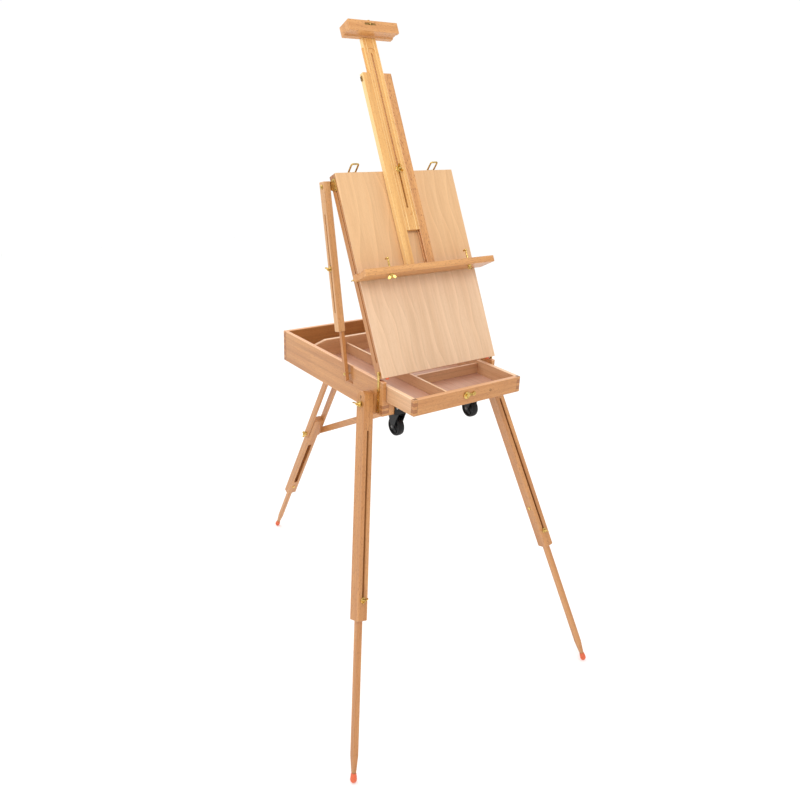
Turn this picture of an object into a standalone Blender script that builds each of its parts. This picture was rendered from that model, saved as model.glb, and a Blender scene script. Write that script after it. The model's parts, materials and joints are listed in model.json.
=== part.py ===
"""French box easel: sketch box on a telescoping tripod, with a hinged lid
that carries the canvas ledge, the mast and the top clamp.

Metres, +Z up.  X runs across the easel, -Y is the artist's side, and the
origin is on the floor under the middle of the tripod's footprint.

The design frame used for the numbers below has y = 0 on the front of the
box; the empty "easel_origin" shifts everything to the middle of the feet.
"""
import bpy
import bmesh
from math import radians, degrees, sin, cos, atan2, sqrt, pi, hypot
from mathutils import Matrix, Vector

# ------------------------------------------------------------------ sizes
GAP = 0.0003                      # clearance between neighbouring solids

# sketch box
BOX_HALF_W = 0.197                # outer face of a side wall
BOX_L = 0.555                     # front to back
BOX_Z0, BOX_Z1 = 0.8985, 0.9955   # underside and rim
WALL = 0.0115                     # side and back wall thickness
RAIL_Z1 = 0.9385                  # top of the front rail and of the runners
RUNNER_X = 0.1755                 # inner face of the wall below the drawer
BOTTOM_T = 0.0047

# drawer, pulled out
DRAWER_OUT = 0.1210
DRAWER_HALF_W = 0.1845
DRAWER_Z0, DRAWER_Z1 = 0.9390, 0.9840
DRAWER_T = 0.012
DRAWER_REAR = 0.4160              # rear face of the drawer back, pulled out
DIVIDER_T = 0.006
DIVIDER_X = -0.0555
CROSS_Y = 0.050
CLASP = (-0.0105, 0.9655)          # x, z of the turn clasp
DIVIDER_Z1 = 0.9755

# lid
LID_TILT = 26.494                 # degrees back from upright
LID_FB = (0.0009, 1.0073)         # y, z of the lid's bottom front edge
LID_L = 0.556
LID_D = 0.0317                    # panel face to back of frame
PANEL_T = 0.0040
STILE_T = 0.012
PIVOT_S, PIVOT_N = 0.0143, -0.0135    # hinge axis in lid coordinates
CATCH_X, CATCH_N, CATCH_LEAN = 0.1335, -0.0190, 62.0    # wire loops on the top edge, swung forward
CORNER_R = 0.0180                 # rounding of the lid's lower back corner

# canvas carrier and mast (lid coordinates: x, n out of the panel, s up it)
LEDGE_HALF = 0.218
LEDGE_N0, LEDGE_N1 = 0.0030, 0.0675
LEDGE_S0, LEDGE_S1 = 0.2610, 0.2786
MAST_N0, MAST_N1 = 0.0015, 0.0170
MAST_TOP = 0.828
RAIL_X0, RAIL_X1 = 0.0223, 0.0475
SLIDER_HALF = 0.0219
SLIDER_TONGUE_S1 = 0.9000
TONGUE_HALF = 0.0258
SLIDER_S0, SLIDER_S1 = 0.3840, 0.9264
SLOT_W = 0.0056
SLIDER_SLOT = (0.449, 0.883)
LOCK_S = 0.557
CLAMP_HALF = 0.081
CLAMP_S = (0.9267, 0.9563)
CLAMP_N = (0.0050, 0.0518)
CARRIER_S = 0.2700                # height of the carrier's wing bolts

# lid struts
STRUT_FOOT = (0.170, 0.970)       # y, z of the strut's foot pivot
STRUT_TOP_S, STRUT_TOP_N = 0.534, -0.0435
SLEEVE_X0, SLEEVE_X1, SLEEVE_W = 0.1990, 0.2200, 0.022
CHANNEL_X1, CHANNEL_W = 0.2125, 0.0125
ROD_X0, ROD_X1, ROD_W = 0.1994, 0.2102, 0.0116
ROD_TAIL, ROD_LEN = 0.020, 0.300
STRUT_BOLT = 0.2919               # from the foot pivot

# front legs
TIP_R = 0.0090
FOOT_F = (0.4443, -0.2713)          # x, y of a front foot
LEG_PIVOT = (0.2225, 0.045, 0.925)
LEG_ACROSS, LEG_DEEP = 0.030, 0.037
LEG_TOP, LEG_BOTTOM = 0.036, -0.575
INNER = 0.0160
LEG_SLOT = (-0.525, -0.073)
LEG_LOCK = -0.5195

# rear leg
FOOT_R = 1.0188                   # y of the rear foot
REAR_PIVOT_Z = 0.868
REAR_SLOPE = 0.5623               # backward run per unit of drop
BAR_X0, BAR_T, BAR_D = 0.0183, 0.010, 0.020
BAR_TOP, BAR_BOTTOM = 0.011, -0.397
REAR_W, REAR_D = 0.036, 0.024
REAR_TOP, REAR_BOTTOM = -0.304, -0.748
REAR_INNER = (0.0154, 0.0134)
REAR_SLOT_HALF = 0.0072
REAR_SLOT = (-0.676, -0.440)
BRACE_A = -0.378                  # where the brace meets the rear leg
BRACE_B = (0.100, 0.868)          # y, z of the brace pivot under the box
BRACE_H, BRACE_T = 0.022, 0.0098

# castors
WHEEL_R, WHEEL_W = 0.028, 0.0192
WHEEL_C = (0.133, 0.022, 0.852)

# ------------------------------------------------------------------ scene
for ob in list(bpy.data.objects):
    bpy.data.objects.remove(ob, do_unlink=True)

PARTS = bpy.data.collections.new("french_box_easel")
CUTTERS = bpy.data.collections.new("cutters")
bpy.context.scene.collection.children.link(PARTS)
bpy.context.scene.collection.children.link(CUTTERS)


def material(name, rgb, rough, metal=0.0):
    m = bpy.data.materials.new(name)
    m.use_nodes = True
    b = m.node_tree.nodes["Principled BSDF"]
    b.inputs["Base Color"].default_value = (*rgb, 1.0)
    b.inputs["Roughness"].default_value = rough
    b.inputs["Metallic"].default_value = metal
    m.diffuse_color = (*rgb, 1.0)
    return m


BEECH = (0.67, 0.42, 0.235)
BEECH_PALE = (0.76, 0.56, 0.38)
BEECH_WARM = (0.60, 0.33, 0.165)
BRASS = (0.83, 0.62, 0.22)
BLACK = (0.012, 0.012, 0.013)
RUBBER = (0.72, 0.16, 0.07)

# ---------------------------------------------------------------- helpers
I4 = Matrix.Identity(4)
BODIES = {}


def empty(name, matrix, parent=None):
    """A joint frame: its origin lies on the axis its children turn about."""
    e = bpy.data.objects.new(name, None)
    e.empty_display_size = 0.03
    PARTS.objects.link(e)
    if parent is not None:
        e.parent = parent
        e.matrix_local = WORLD[parent.name].inverted() @ matrix
    else:
        e.matrix_local = matrix
    WORLD[name] = matrix.copy()
    return e


WORLD = {}


def side(sgn):
    """Mirror frame: sgn +1 is the easel's right side, -1 its left."""
    return Matrix.Diagonal((sgn, 1, 1, 1))


def frame(origin, x, y, z):
    m = Matrix.Identity(4)
    for i, a in enumerate((x, y, z)):
        m.col[i][:3] = a
    m.col[3][:3] = origin
    return m


def box(bm, lo, hi):
    """Add one block between two corners; returns its vertices."""
    c = [(a + b) / 2 for a, b in zip(lo, hi)]
    d = [abs(b - a) for a, b in zip(lo, hi)]
    r = bmesh.ops.create_cube(bm, size=1.0, matrix=Matrix.Translation(c) @ Matrix.Diagonal((*d, 1)))
    return r["verts"]


def rod(bm, a, b, r, seg=16, r2=None):
    """Add a capped cylinder or cone from a to b."""
    a, b = Vector(a), Vector(b)
    d = b - a
    q = d.to_track_quat("Z", "Y").to_matrix().to_4x4()
    res = bmesh.ops.create_cone(bm, cap_ends=True, segments=seg, radius1=r, radius2=r if r2 is None else r2,
                                depth=d.length, matrix=Matrix.Translation((a + b) / 2) @ q)
    return res["verts"]


def make(name, bm, body, mat, fr=I4, bevel=0.0, seg=1, cutter=False, smooth=False):
    """Turn a bmesh drawn in frame fr into an object under a joint empty."""
    e = BODIES[body]
    m = WORLD[e.name].inverted() @ fr
    bmesh.ops.transform(bm, matrix=m, verts=bm.verts)
    if fr.to_3x3().determinant() < 0:
        bmesh.ops.reverse_faces(bm, faces=bm.faces)
    me = bpy.data.meshes.new(name)
    bm.to_mesh(me)
    bm.free()
    ob = bpy.data.objects.new(name, me)
    (CUTTERS if cutter else PARTS).objects.link(ob)
    ob.parent = e
    if cutter:
        ob.hide_render = True
        ob.display_type = "WIRE"
    else:
        me.materials.append(material(name, *mat))
        if bevel:
            b = ob.modifiers.new("edges", "BEVEL")
            b.width = bevel
            b.segments = seg
            b.limit_method = "ANGLE"
            b.angle_limit = radians(40)
        if smooth:
            me.shade_smooth()
            me.set_sharp_from_angle(angle=radians(35))
    return ob


def cut(ob, cutter_ob, op="DIFFERENCE"):
    b = ob.modifiers.new(cutter_ob.name, "BOOLEAN")
    b.operation = op
    b.solver = "EXACT"
    b.object = cutter_ob
    # cuts come before the edge rounding
    names = [m.name for m in ob.modifiers]
    if "edges" in names:
        ob.modifiers.move(len(names) - 1, names.index("edges"))


def board(name, body, lo, hi, mat, fr=I4, bevel=0.0007, seg=1):
    bm = bmesh.new()
    box(bm, lo, hi)
    return make(name, bm, body, mat, fr, bevel, seg)


def cutbox(ob, tag, body, lo, hi, fr=I4):
    bm = bmesh.new()
    box(bm, lo, hi)
    cut(ob, make(ob.name + "_" + tag, bm, body, None, fr, cutter=True))


def cutrod(ob, tag, body, a, b, r, fr=I4, seg=16):
    bm = bmesh.new()
    rod(bm, a, b, r, seg)
    cut(ob, make(ob.name + "_" + tag, bm, body, None, fr, cutter=True))


def cutslot(ob, tag, body, a, b, r, axis, depth, fr=I4):
    """Round-ended slot from a to b, cut along axis, as one capsule prism."""
    a, b, ax = Vector(a), Vector(b), Vector(axis).normalized()
    u = (b - a).normalized()
    v = ax.cross(u)
    pts = []
    for c, s in ((b, 1), (a, -1)):
        for i in range(9):
            t = -pi / 2 + pi * i / 8
            pts.append(c + (u * cos(t) * s + v * sin(t) * s) * r)
    bm = bmesh.new()
    prism(bm, pts, ax * depth, -ax * depth)
    cut(ob, make(ob.name + "_" + tag, bm, body, None, fr, cutter=True))


def prism(bm, pts, back, fwd):
    """Extrude a closed flat outline from +back to +fwd."""
    vs = [bm.verts.new(Vector(p) + Vector(back)) for p in pts]
    f = bm.faces.new(vs)
    ext = bmesh.ops.extrude_face_region(bm, geom=[f])
    nv = [g for g in ext["geom"] if isinstance(g, bmesh.types.BMVert)]
    bmesh.ops.translate(bm, verts=nv, vec=Vector(fwd) - Vector(back))
    bmesh.ops.recalc_face_normals(bm, faces=bm.faces)


def join_union(ob, tag, body, bm2, fr=I4):
    """Weld another solid onto ob with a Boolean union."""
    cut(ob, make(ob.name + "_" + tag, bm2, body, None, fr, cutter=True), "UNION")


def wing(name, body, fr, shank0, shank1, base, r=0.0022, hub=0.0050, span=0.0105, mat=(BRASS, 0.28, 1.0)):
    """Wing bolt along local +Y: shank, round hub and two ears."""
    bm = bmesh.new()
    rod(bm, (0, shank0, 0), (0, shank1, 0), r, 12)
    ob = make(name, bm, body, mat, fr, smooth=True)
    bm = bmesh.new()
    rod(bm, (0, base, 0), (0, base + 0.0060, 0), hub, 14, hub * 0.8)
    join_union(ob, "hub", body, bm, fr)
    for s, t in ((1, "a"), (-1, "b")):
        pts = [Vector((s * 0.0016, base + 0.0008, 0)), Vector((s * hub * 1.1, base + 0.0010, 0)),
               Vector((s * span, base + 0.0080, 0)), Vector((s * (span - 0.0002), base + 0.0120, 0)),
               Vector((s * (span - 0.0030), base + 0.0132, 0)), Vector((s * 0.0022, base + 0.0052, 0))]
        bm = bmesh.new()
        prism(bm, pts, (0, 0, -0.0011), (0, 0, 0.0011))
        join_union(ob, "ear_" + t, body, bm, fr)
    return ob


# ------------------------------------------------------------ joint frames
Y_MID = (FOOT_F[1] + FOOT_R) / 2
root = empty("easel_origin", Matrix.Translation((0, -Y_MID, 0)))
BODIES["root"] = root
# everything below is in the design frame, which the origin empty carries
WORLD["easel_origin"] = I4.copy()

BETA = radians(LID_TILT)
UP = Vector((0, sin(BETA), cos(BETA)))
NF = Vector((0, -cos(BETA), sin(BETA)))
FB = Vector((0, *LID_FB))
LID = frame(FB, (1, 0, 0), NF, UP)            # (x, n, s), left handed
LID_PIVOT = FB + UP * PIVOT_S + NF * PIVOT_N
ROT_LID = Matrix.Rotation(-BETA, 4, "X")


def lid_point(x, n, s):
    return Vector((x, 0, 0)) + FB + NF * n + UP * s


def body(name, point, rot=I4, parent="root"):
    BODIES[name] = empty("axis_" + name, Matrix.Translation(point) @ rot.to_3x3().to_4x4(), BODIES[parent])
    return BODIES[name]


body("box", (0, 0, BOX_Z0))
body("drawer", (0, -DRAWER_OUT, DRAWER_Z0), parent="box")
body("lid", LID_PIVOT, ROT_LID, "box")
body("carrier", lid_point(0, 0, CARRIER_S), ROT_LID, "lid")
body("slider", lid_point(0, MAST_N1, LOCK_S), ROT_LID, "carrier")
body("mast_lock", lid_point(0, MAST_N1, LOCK_S), ROT_LID, "carrier")

# ------------------------------------------------------------------- box
WOOD = (BEECH, 0.48)
for sgn, tag in ((-1, "left"), (1, "right")):
    fr = side(sgn)
    w = board("box_%s_wall" % tag, "box", (BOX_HALF_W - WALL, 0, BOX_Z0), (BOX_HALF_W, BOX_L - WALL - GAP, BOX_Z1), WOOD, fr)
    bm = bmesh.new()                           # drawer runner, one piece with the wall
    box(bm, (RUNNER_X, 0, BOX_Z0), (BOX_HALF_W - 0.004, BOX_L - WALL - GAP, RAIL_Z1))
    join_union(w, "runner", "box", bm, fr)
    # shallow housing for the strut's foot, open at the rim
    cutbox(w, "housing", "box", (BOX_HALF_W - 0.0045, 0.146, 0.947), (BOX_HALF_W + 0.01, 0.184, BOX_Z1 + 0.01), fr)
back = board("box_back_wall", "box", (-BOX_HALF_W, BOX_L - WALL, BOX_Z0), (BOX_HALF_W, BOX_L, BOX_Z1), WOOD)
board("box_front_rail", "box", (-RUNNER_X + GAP, 0, BOX_Z0), (RUNNER_X - GAP, WALL, RAIL_Z1), WOOD)
board("box_bottom", "box", (-RUNNER_X + GAP, WALL + GAP, BOX_Z0 + GAP), (RUNNER_X - GAP, BOX_L - WALL - GAP, BOX_Z0 + GAP + BOTTOM_T), (BEECH_PALE, 0.5), bevel=0)

# hinge straps: a brass bar on the wall that carries the lid's pivot pin
py, pz = LID_PIVOT.y, LID_PIVOT.z
for sgn, tag in ((-1, "left"), (1, "right")):
    fr = side(sgn)
    x0, x1 = BOX_HALF_W + GAP, BOX_HALF_W + GAP + 0.0018
    bm = bmesh.new()
    box(bm, (x0, py - 0.0045, 0.9060), (x1, py + 0.0045, pz))
    s = make("hinge_strap_%s" % tag, bm, "box", (BRASS, 0.26, 1.0), fr)
    bm = bmesh.new()
    rod(bm, (x0, py, pz), (x1, py, pz), 0.0062, 20)
    join_union(s, "eye", "box", bm, fr)
    bm = bmesh.new()
    rod(bm, (BOX_HALF_W - 0.009, py, pz), (x1 + 0.0022, py, pz), 0.0024, 14)
    join_union(s, "pin", "box", bm, fr)

# ------------------------------------------------------------------ drawer
yf = -DRAWER_OUT
dm = (BEECH, 0.46)
board("drawer_front", "drawer", (-DRAWER_HALF_W, yf, DRAWER_Z0), (DRAWER_HALF_W, yf + DRAWER_T, DRAWER_Z1), dm, bevel=0.0010)
y0, y1 = yf + DRAWER_T + GAP, DRAWER_REAR - DRAWER_T - GAP
for sgn, tag in ((-1, "left"), (1, "right")):
    board("drawer_%s_side" % tag, "drawer", (DRAWER_HALF_W - DRAWER_T, y0, DRAWER_Z0), (DRAWER_HALF_W, y1, DRAWER_Z1), dm, side(sgn))
# the back stands as high as the box's rim, with its top corners cut off
pts = [(-DRAWER_HALF_W, 0, DRAWER_Z0), (DRAWER_HALF_W, 0, DRAWER_Z0), (DRAWER_HALF_W, 0, BOX_Z1 - 0.0180),
       (0.131, 0, BOX_Z1 - 0.0007), (-0.131, 0, BOX_Z1 - 0.0007), (-DRAWER_HALF_W, 0, BOX_Z1 - 0.0180)]
bm = bmesh.new()
prism(bm, pts, (0, DRAWER_REAR - DRAWER_T, 0), (0, DRAWER_REAR, 0))
make("drawer_back", bm, "drawer", (BEECH_PALE, 0.5), bevel=0.0007)
xi = DRAWER_HALF_W - DRAWER_T - GAP
board("drawer_bottom", "drawer", (-xi, y0, DRAWER_Z0 + 0.0010), (xi, y1, DRAWER_Z0 + 0.0055), (BEECH_PALE, 0.5), bevel=0)
zb = DRAWER_Z0 + 0.0055 + GAP
board("drawer_long_divider", "drawer", (DIVIDER_X - DIVIDER_T / 2, y0, zb), (DIVIDER_X + DIVIDER_T / 2, y1, DIVIDER_Z1), (BEECH_PALE, 0.5), bevel=0.0005)
board("drawer_cross_divider", "drawer", (DIVIDER_X + DIVIDER_T / 2 + GAP, CROSS_Y - DIVIDER_T / 2, zb), (xi, CROSS_Y + DIVIDER_T / 2, DIVIDER_Z1), (BEECH_PALE, 0.5), bevel=0.0005)
# turn button on the drawer front
cxp, czp = CLASP
body("drawer_clasp", (cxp, yf - GAP, czp), parent="drawer")
bm = bmesh.new()
rod(bm, (cxp, yf - GAP - 0.0026, czp), (cxp, yf - GAP, czp), 0.0100, 24, 0.0092)
c = make("drawer_clasp", bm, "drawer_clasp", (BRASS, 0.25, 1.0))
bm = bmesh.new()
box(bm, (cxp + 0.004, yf - GAP - 0.0022, czp - 0.0032), (cxp + 0.0240, yf - GAP - 0.0006, czp + 0.0036))
join_union(c, "tongue", "drawer_clasp", bm)
bm = bmesh.new()
rod(bm, (cxp + 0.0250, yf - GAP - 0.0030, czp + 0.0005), (cxp + 0.0250, yf - GAP - 0.0004, czp + 0.0005), 0.0058, 18)
join_union(c, "eye", "drawer_clasp", bm)
bm = bmesh.new()
rod(bm, (cxp, yf - GAP - 0.0062, czp), (cxp, yf - GAP - 0.002, czp), 0.0042, 16, 0.0036)
join_union(c, "stud", "drawer_clasp", bm)

# --------------------------------------------------------------------- lid
lw = (BEECH, 0.48)
board("lid_panel", "lid", (-BOX_HALF_W, -PANEL_T, 0), (BOX_HALF_W, 0, LID_L), (BEECH_PALE, 0.45), LID, bevel=0.0006)
n0, n1 = -LID_D, -PANEL_T - GAP


def corner_profile(s_end):
    """Lid edge seen from the side, its lower back corner struck about the hinge."""
    pts = [(n1, 0.0)]
    a0 = -sqrt(CORNER_R ** 2 - PIVOT_S ** 2)
    steps = 5
    t0 = atan2(-PIVOT_S, a0)
    t1 = -pi
    for i in range(steps + 1):
        t = t0 + (t1 - t0) * i / steps
        pts.append((PIVOT_N + CORNER_R * cos(t), PIVOT_S + CORNER_R * sin(t)))
    pts[-1] = (n0, PIVOT_S)
    return pts + [(n0, s_end), (n1, s_end)]


for sgn, tag in ((-1, "left"), (1, "right")):
    fr = LID @ side(sgn)
    bm = bmesh.new()
    prism(bm, [(BOX_HALF_W - STILE_T, n, s) for n, s in corner_profile(LID_L)], (0, 0, 0), (STILE_T, 0, 0))
    st = make("lid_%s_stile" % tag, bm, "lid", lw, fr, bevel=0.0006)
    cutbox(st, "groove", "lid", (BOX_HALF_W - 0.0050, -0.0160, 0.045), (BOX_HALF_W + 0.01, -0.0110, 0.515), fr)
    cutrod(st, "pinhole", "lid", (BOX_HALF_W - 0.0100, PIVOT_N, PIVOT_S), (BOX_HALF_W + 0.01, PIVOT_N, PIVOT_S), 0.0028, fr, 14)
xr = BOX_HALF_W - STILE_T - GAP
bm = bmesh.new()
prism(bm, [(-xr, n, s) for n, s in corner_profile(0.0180)], (0, 0, 0), (2 * xr, 0, 0))
make("lid_bottom_rail", bm, "lid", lw, LID, bevel=0.0006)
board("lid_top_rail", "lid", (-xr, n0, LID_L - STILE_T), (xr, n1, LID_L), lw, LID, bevel=0.0006)

# wire loops of the lid's draw catches, hinged on the top edge
for sgn, tag in ((-1, "left"), (1, "right")):
    b = "lid_catch_" + tag
    cx, cn, cs = CATCH_X, CATCH_N, LID_L + 0.0045
    body(b, lid_point(sgn * cx, cn, cs), ROT_LID, "lid")
    cu = bpy.data.curves.new(b, "CURVE")
    cu.dimensions = "3D"
    cu.bevel_depth = 0.0017
    cu.bevel_resolution = 2
    cu.use_fill_caps = True
    sp = cu.splines.new("POLY")
    pts = []
    hw, hl, rr = 0.0110, 0.0310, 0.0040
    for (ax, az, t0) in ((hw - rr, rr - 0.0, -90), (hw - rr, hl - rr, 0), (-hw + rr, hl - rr, 90), (-hw + rr, rr, 180)):
        for i in range(4):
            t = radians(t0 + 30 * i)
            pts.append((ax + rr * cos(t), 0, az + rr * sin(t)))
    sp.points.add(len(pts) - 1)
    for p, q in zip(sp.points, pts):
        p.co = (*q, 1)
    sp.use_cyclic_u = True
    tmp = bpy.data.objects.new(b + "_wire", cu)
    PARTS.objects.link(tmp)
    tmp.parent = BODIES[b]
    bpy.context.view_layer.update()
    me = bpy.data.meshes.new_from_object(tmp.evaluated_get(bpy.context.evaluated_depsgraph_get()))
    bm = bmesh.new()
    bm.from_mesh(me)
    bmesh.ops.remove_doubles(bm, verts=bm.verts, dist=0.00005)
    bmesh.ops.recalc_face_normals(bm, faces=bm.faces)
    bpy.data.objects.remove(tmp, do_unlink=True)
    bpy.data.meshes.remove(me)
    make(b, bm, b, (BRASS, 0.28, 1.0), WORLD[BODIES[b].name] @ Matrix.Rotation(radians(CATCH_LEAN), 4, "X"), smooth=True)

# -------------------------------------------------------- canvas carrier
led = board("canvas_ledge", "carrier", (-LEDGE_HALF, LEDGE_N0, LEDGE_S0), (LEDGE_HALF, LEDGE_N1, LEDGE_S1), (BEECH_WARM, 0.46), LID, bevel=0.0010)
cutbox(led, "canvas_groove", "carrier", (-LEDGE_HALF - 0.01, 0.0240, LEDGE_S1 - 0.0045), (LEDGE_HALF + 0.01, 0.0420, LEDGE_S1 + 0.01), LID)
for sgn, tag in ((-1, "left"), (1, "right")):
    fr = LID @ side(sgn)
    r = board("mast_%s_rail" % tag, "carrier", (RAIL_X0, MAST_N0, LEDGE_S1 + GAP), (RAIL_X1, MAST_N1, MAST_TOP), (BEECH_WARM, 0.46), fr, bevel=0.0008)
    cutbox(r, "groove", "carrier", (RAIL_X0 - 0.01, 0.0060, LEDGE_S0 - 0.02), (TONGUE_HALF + 0.0006, 0.0120, MAST_TOP + 0.02), fr)
    b = "carrier_wing_" + tag
    body(b, lid_point(sgn * (BOX_HALF_W + 0.004), -0.0135, CARRIER_S), ROT_LID, "carrier")
    fw = LID @ side(sgn) @ frame((0, -0.0135, CARRIER_S), (0, 1, 0), (1, 0, 0), (0, 0, 1))
    wing(b, b, fw, BOX_HALF_W - 0.0040, BOX_HALF_W + 0.0080, BOX_HALF_W + 0.0050, r=0.0020, hub=0.0048, span=0.0095)

# ------------------------------------------------------------ mast slider
sl = board("mast_slider", "slider", (-SLIDER_HALF, MAST_N0 + 0.0012, SLIDER_S0), (SLIDER_HALF, MAST_N1 - 0.0010, SLIDER_S1), (BEECH_WARM, 0.46), LID, bevel=0.0006)
bm = bmesh.new()
box(bm, (-TONGUE_HALF, 0.0065, SLIDER_S0), (TONGUE_HALF, 0.0115, SLIDER_TONGUE_S1))
join_union(sl, "tongues", "slider", bm, LID)
cutslot(sl, "slot", "slider", lid_point(0, 0, SLIDER_SLOT[0]), lid_point(0, 0, SLIDER_SLOT[1]), SLOT_W / 2, NF, 0.06)
cutslot(sl, "channel", "slider", lid_point(0, MAST_N1 + 0.0065, SLIDER_SLOT[0] - 0.012), lid_point(0, MAST_N1 + 0.0065, SLIDER_SLOT[1] + 0.004), 0.0125, NF, 0.0100)
cl = board("clamp_block", "slider", (-CLAMP_HALF, CLAMP_N[0], CLAMP_S[0]), (CLAMP_HALF, CLAMP_N[1], CLAMP_S[1]), (BEECH_WARM, 0.46), LID, bevel=0.0012)
cutbox(cl, "canvas_groove", "slider", (-CLAMP_HALF - 0.01, 0.0200, CLAMP_S[0] - 0.01), (CLAMP_HALF + 0.01, 0.0400, CLAMP_S[0] + 0.0030), LID)
cutbox(cl, "recess", "slider", (-0.0280, CLAMP_N[1] - 0.0025, 0.9440), (0.0080, CLAMP_N[1] + 0.01, 0.9505), LID)
# wing bolt that locks the slider, standing in its slot
wing("mast_lock_bolt", "mast_lock", LID @ Matrix.Translation((0, 0, LOCK_S)) @ Matrix.Rotation(radians(70), 4, "Y"), 0.0006, MAST_N1 + 0.0040, MAST_N1 - 0.0030, r=0.0024, hub=0.0055, span=0.0105)

# ------------------------------------------------------------ lid struts
STRUT_T = lid_point(0, STRUT_TOP_N, STRUT_TOP_S)
fy, fz = STRUT_FOOT
dy, dz = STRUT_T.y - fy, STRUT_T.z - fz
STRUT_LEN = hypot(dy, dz)
STRUT_ANG = atan2(dz, dy)
sdir = Vector((0, dy, dz)).normalized()
sperp = Vector((0, -sdir.z, sdir.y))
for sgn, tag in ((-1, "left"), (1, "right")):
    fr = frame((0, fy, fz), (sgn, 0, 0), sperp, sdir)      # (out, across, along)
    rot = frame((0, 0, 0), (1, 0, 0), sdir.cross(Vector((1, 0, 0))), sdir)
    body("strut_" + tag, (sgn * 0.2048, fy, fz), rot, "box")
    body("sleeve_" + tag, Vector((sgn * 0.2048, fy, fz)) + sdir * STRUT_LEN, rot, "strut_" + tag)
    body("strut_wing_" + tag, Vector((sgn * 0.2048, fy, fz)) + sdir * STRUT_BOLT, rot, "strut_" + tag)
    # rod, round at the foot
    pts = []
    for i in range(9):
        t = pi + pi * i / 8
        pts.append((ROD_X0, ROD_W / 2 * cos(t), -ROD_TAIL + ROD_W / 2 + ROD_W / 2 * sin(t)))
    pts += [(ROD_X0, ROD_W / 2, ROD_LEN), (ROD_X0, -ROD_W / 2, ROD_LEN)]
    bm = bmesh.new()
    prism(bm, pts, (0, 0, 0), (ROD_X1 - ROD_X0, 0, 0))
    make("strut_rod_" + tag, bm, "strut_" + tag, (BEECH_WARM, 0.45), fr, bevel=0.0006)
    # slotted sleeve, a channel that opens towards the box
    top, bot = STRUT_LEN + 0.0135, STRUT_LEN - 0.3876
    sv = board("strut_sleeve_" + tag, "sleeve_" + tag, (SLEEVE_X0, -SLEEVE_W / 2, bot), (SLEEVE_X1, SLEEVE_W / 2, top), (BEECH, 0.47), fr, bevel=0.0012)
    cutbox(sv, "channel", "sleeve_" + tag, (SLEEVE_X0 - 0.01, -CHANNEL_W / 2, bot - 0.01), (CHANNEL_X1, CHANNEL_W / 2, top - 0.026), fr)
    a = Vector((sgn * 0.216, fy, fz)) + sdir * (STRUT_LEN - 0.3336)
    b2 = Vector((sgn * 0.216, fy, fz)) + sdir * (STRUT_LEN - 0.0735)
    cutslot(sv, "slot", "sleeve_" + tag, a, b2, 0.0026, (1, 0, 0), 0.012)
    fw = fr @ frame((0, 0, STRUT_BOLT), (0, 0, 1), (1, 0, 0), (0, 1, 0))
    wing("strut_wing_" + tag, "strut_wing_" + tag, fw, ROD_X1 + GAP, SLEEVE_X1 + 0.0040, SLEEVE_X1 + GAP, r=0.0021, hub=0.0050, span=0.0110)

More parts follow.
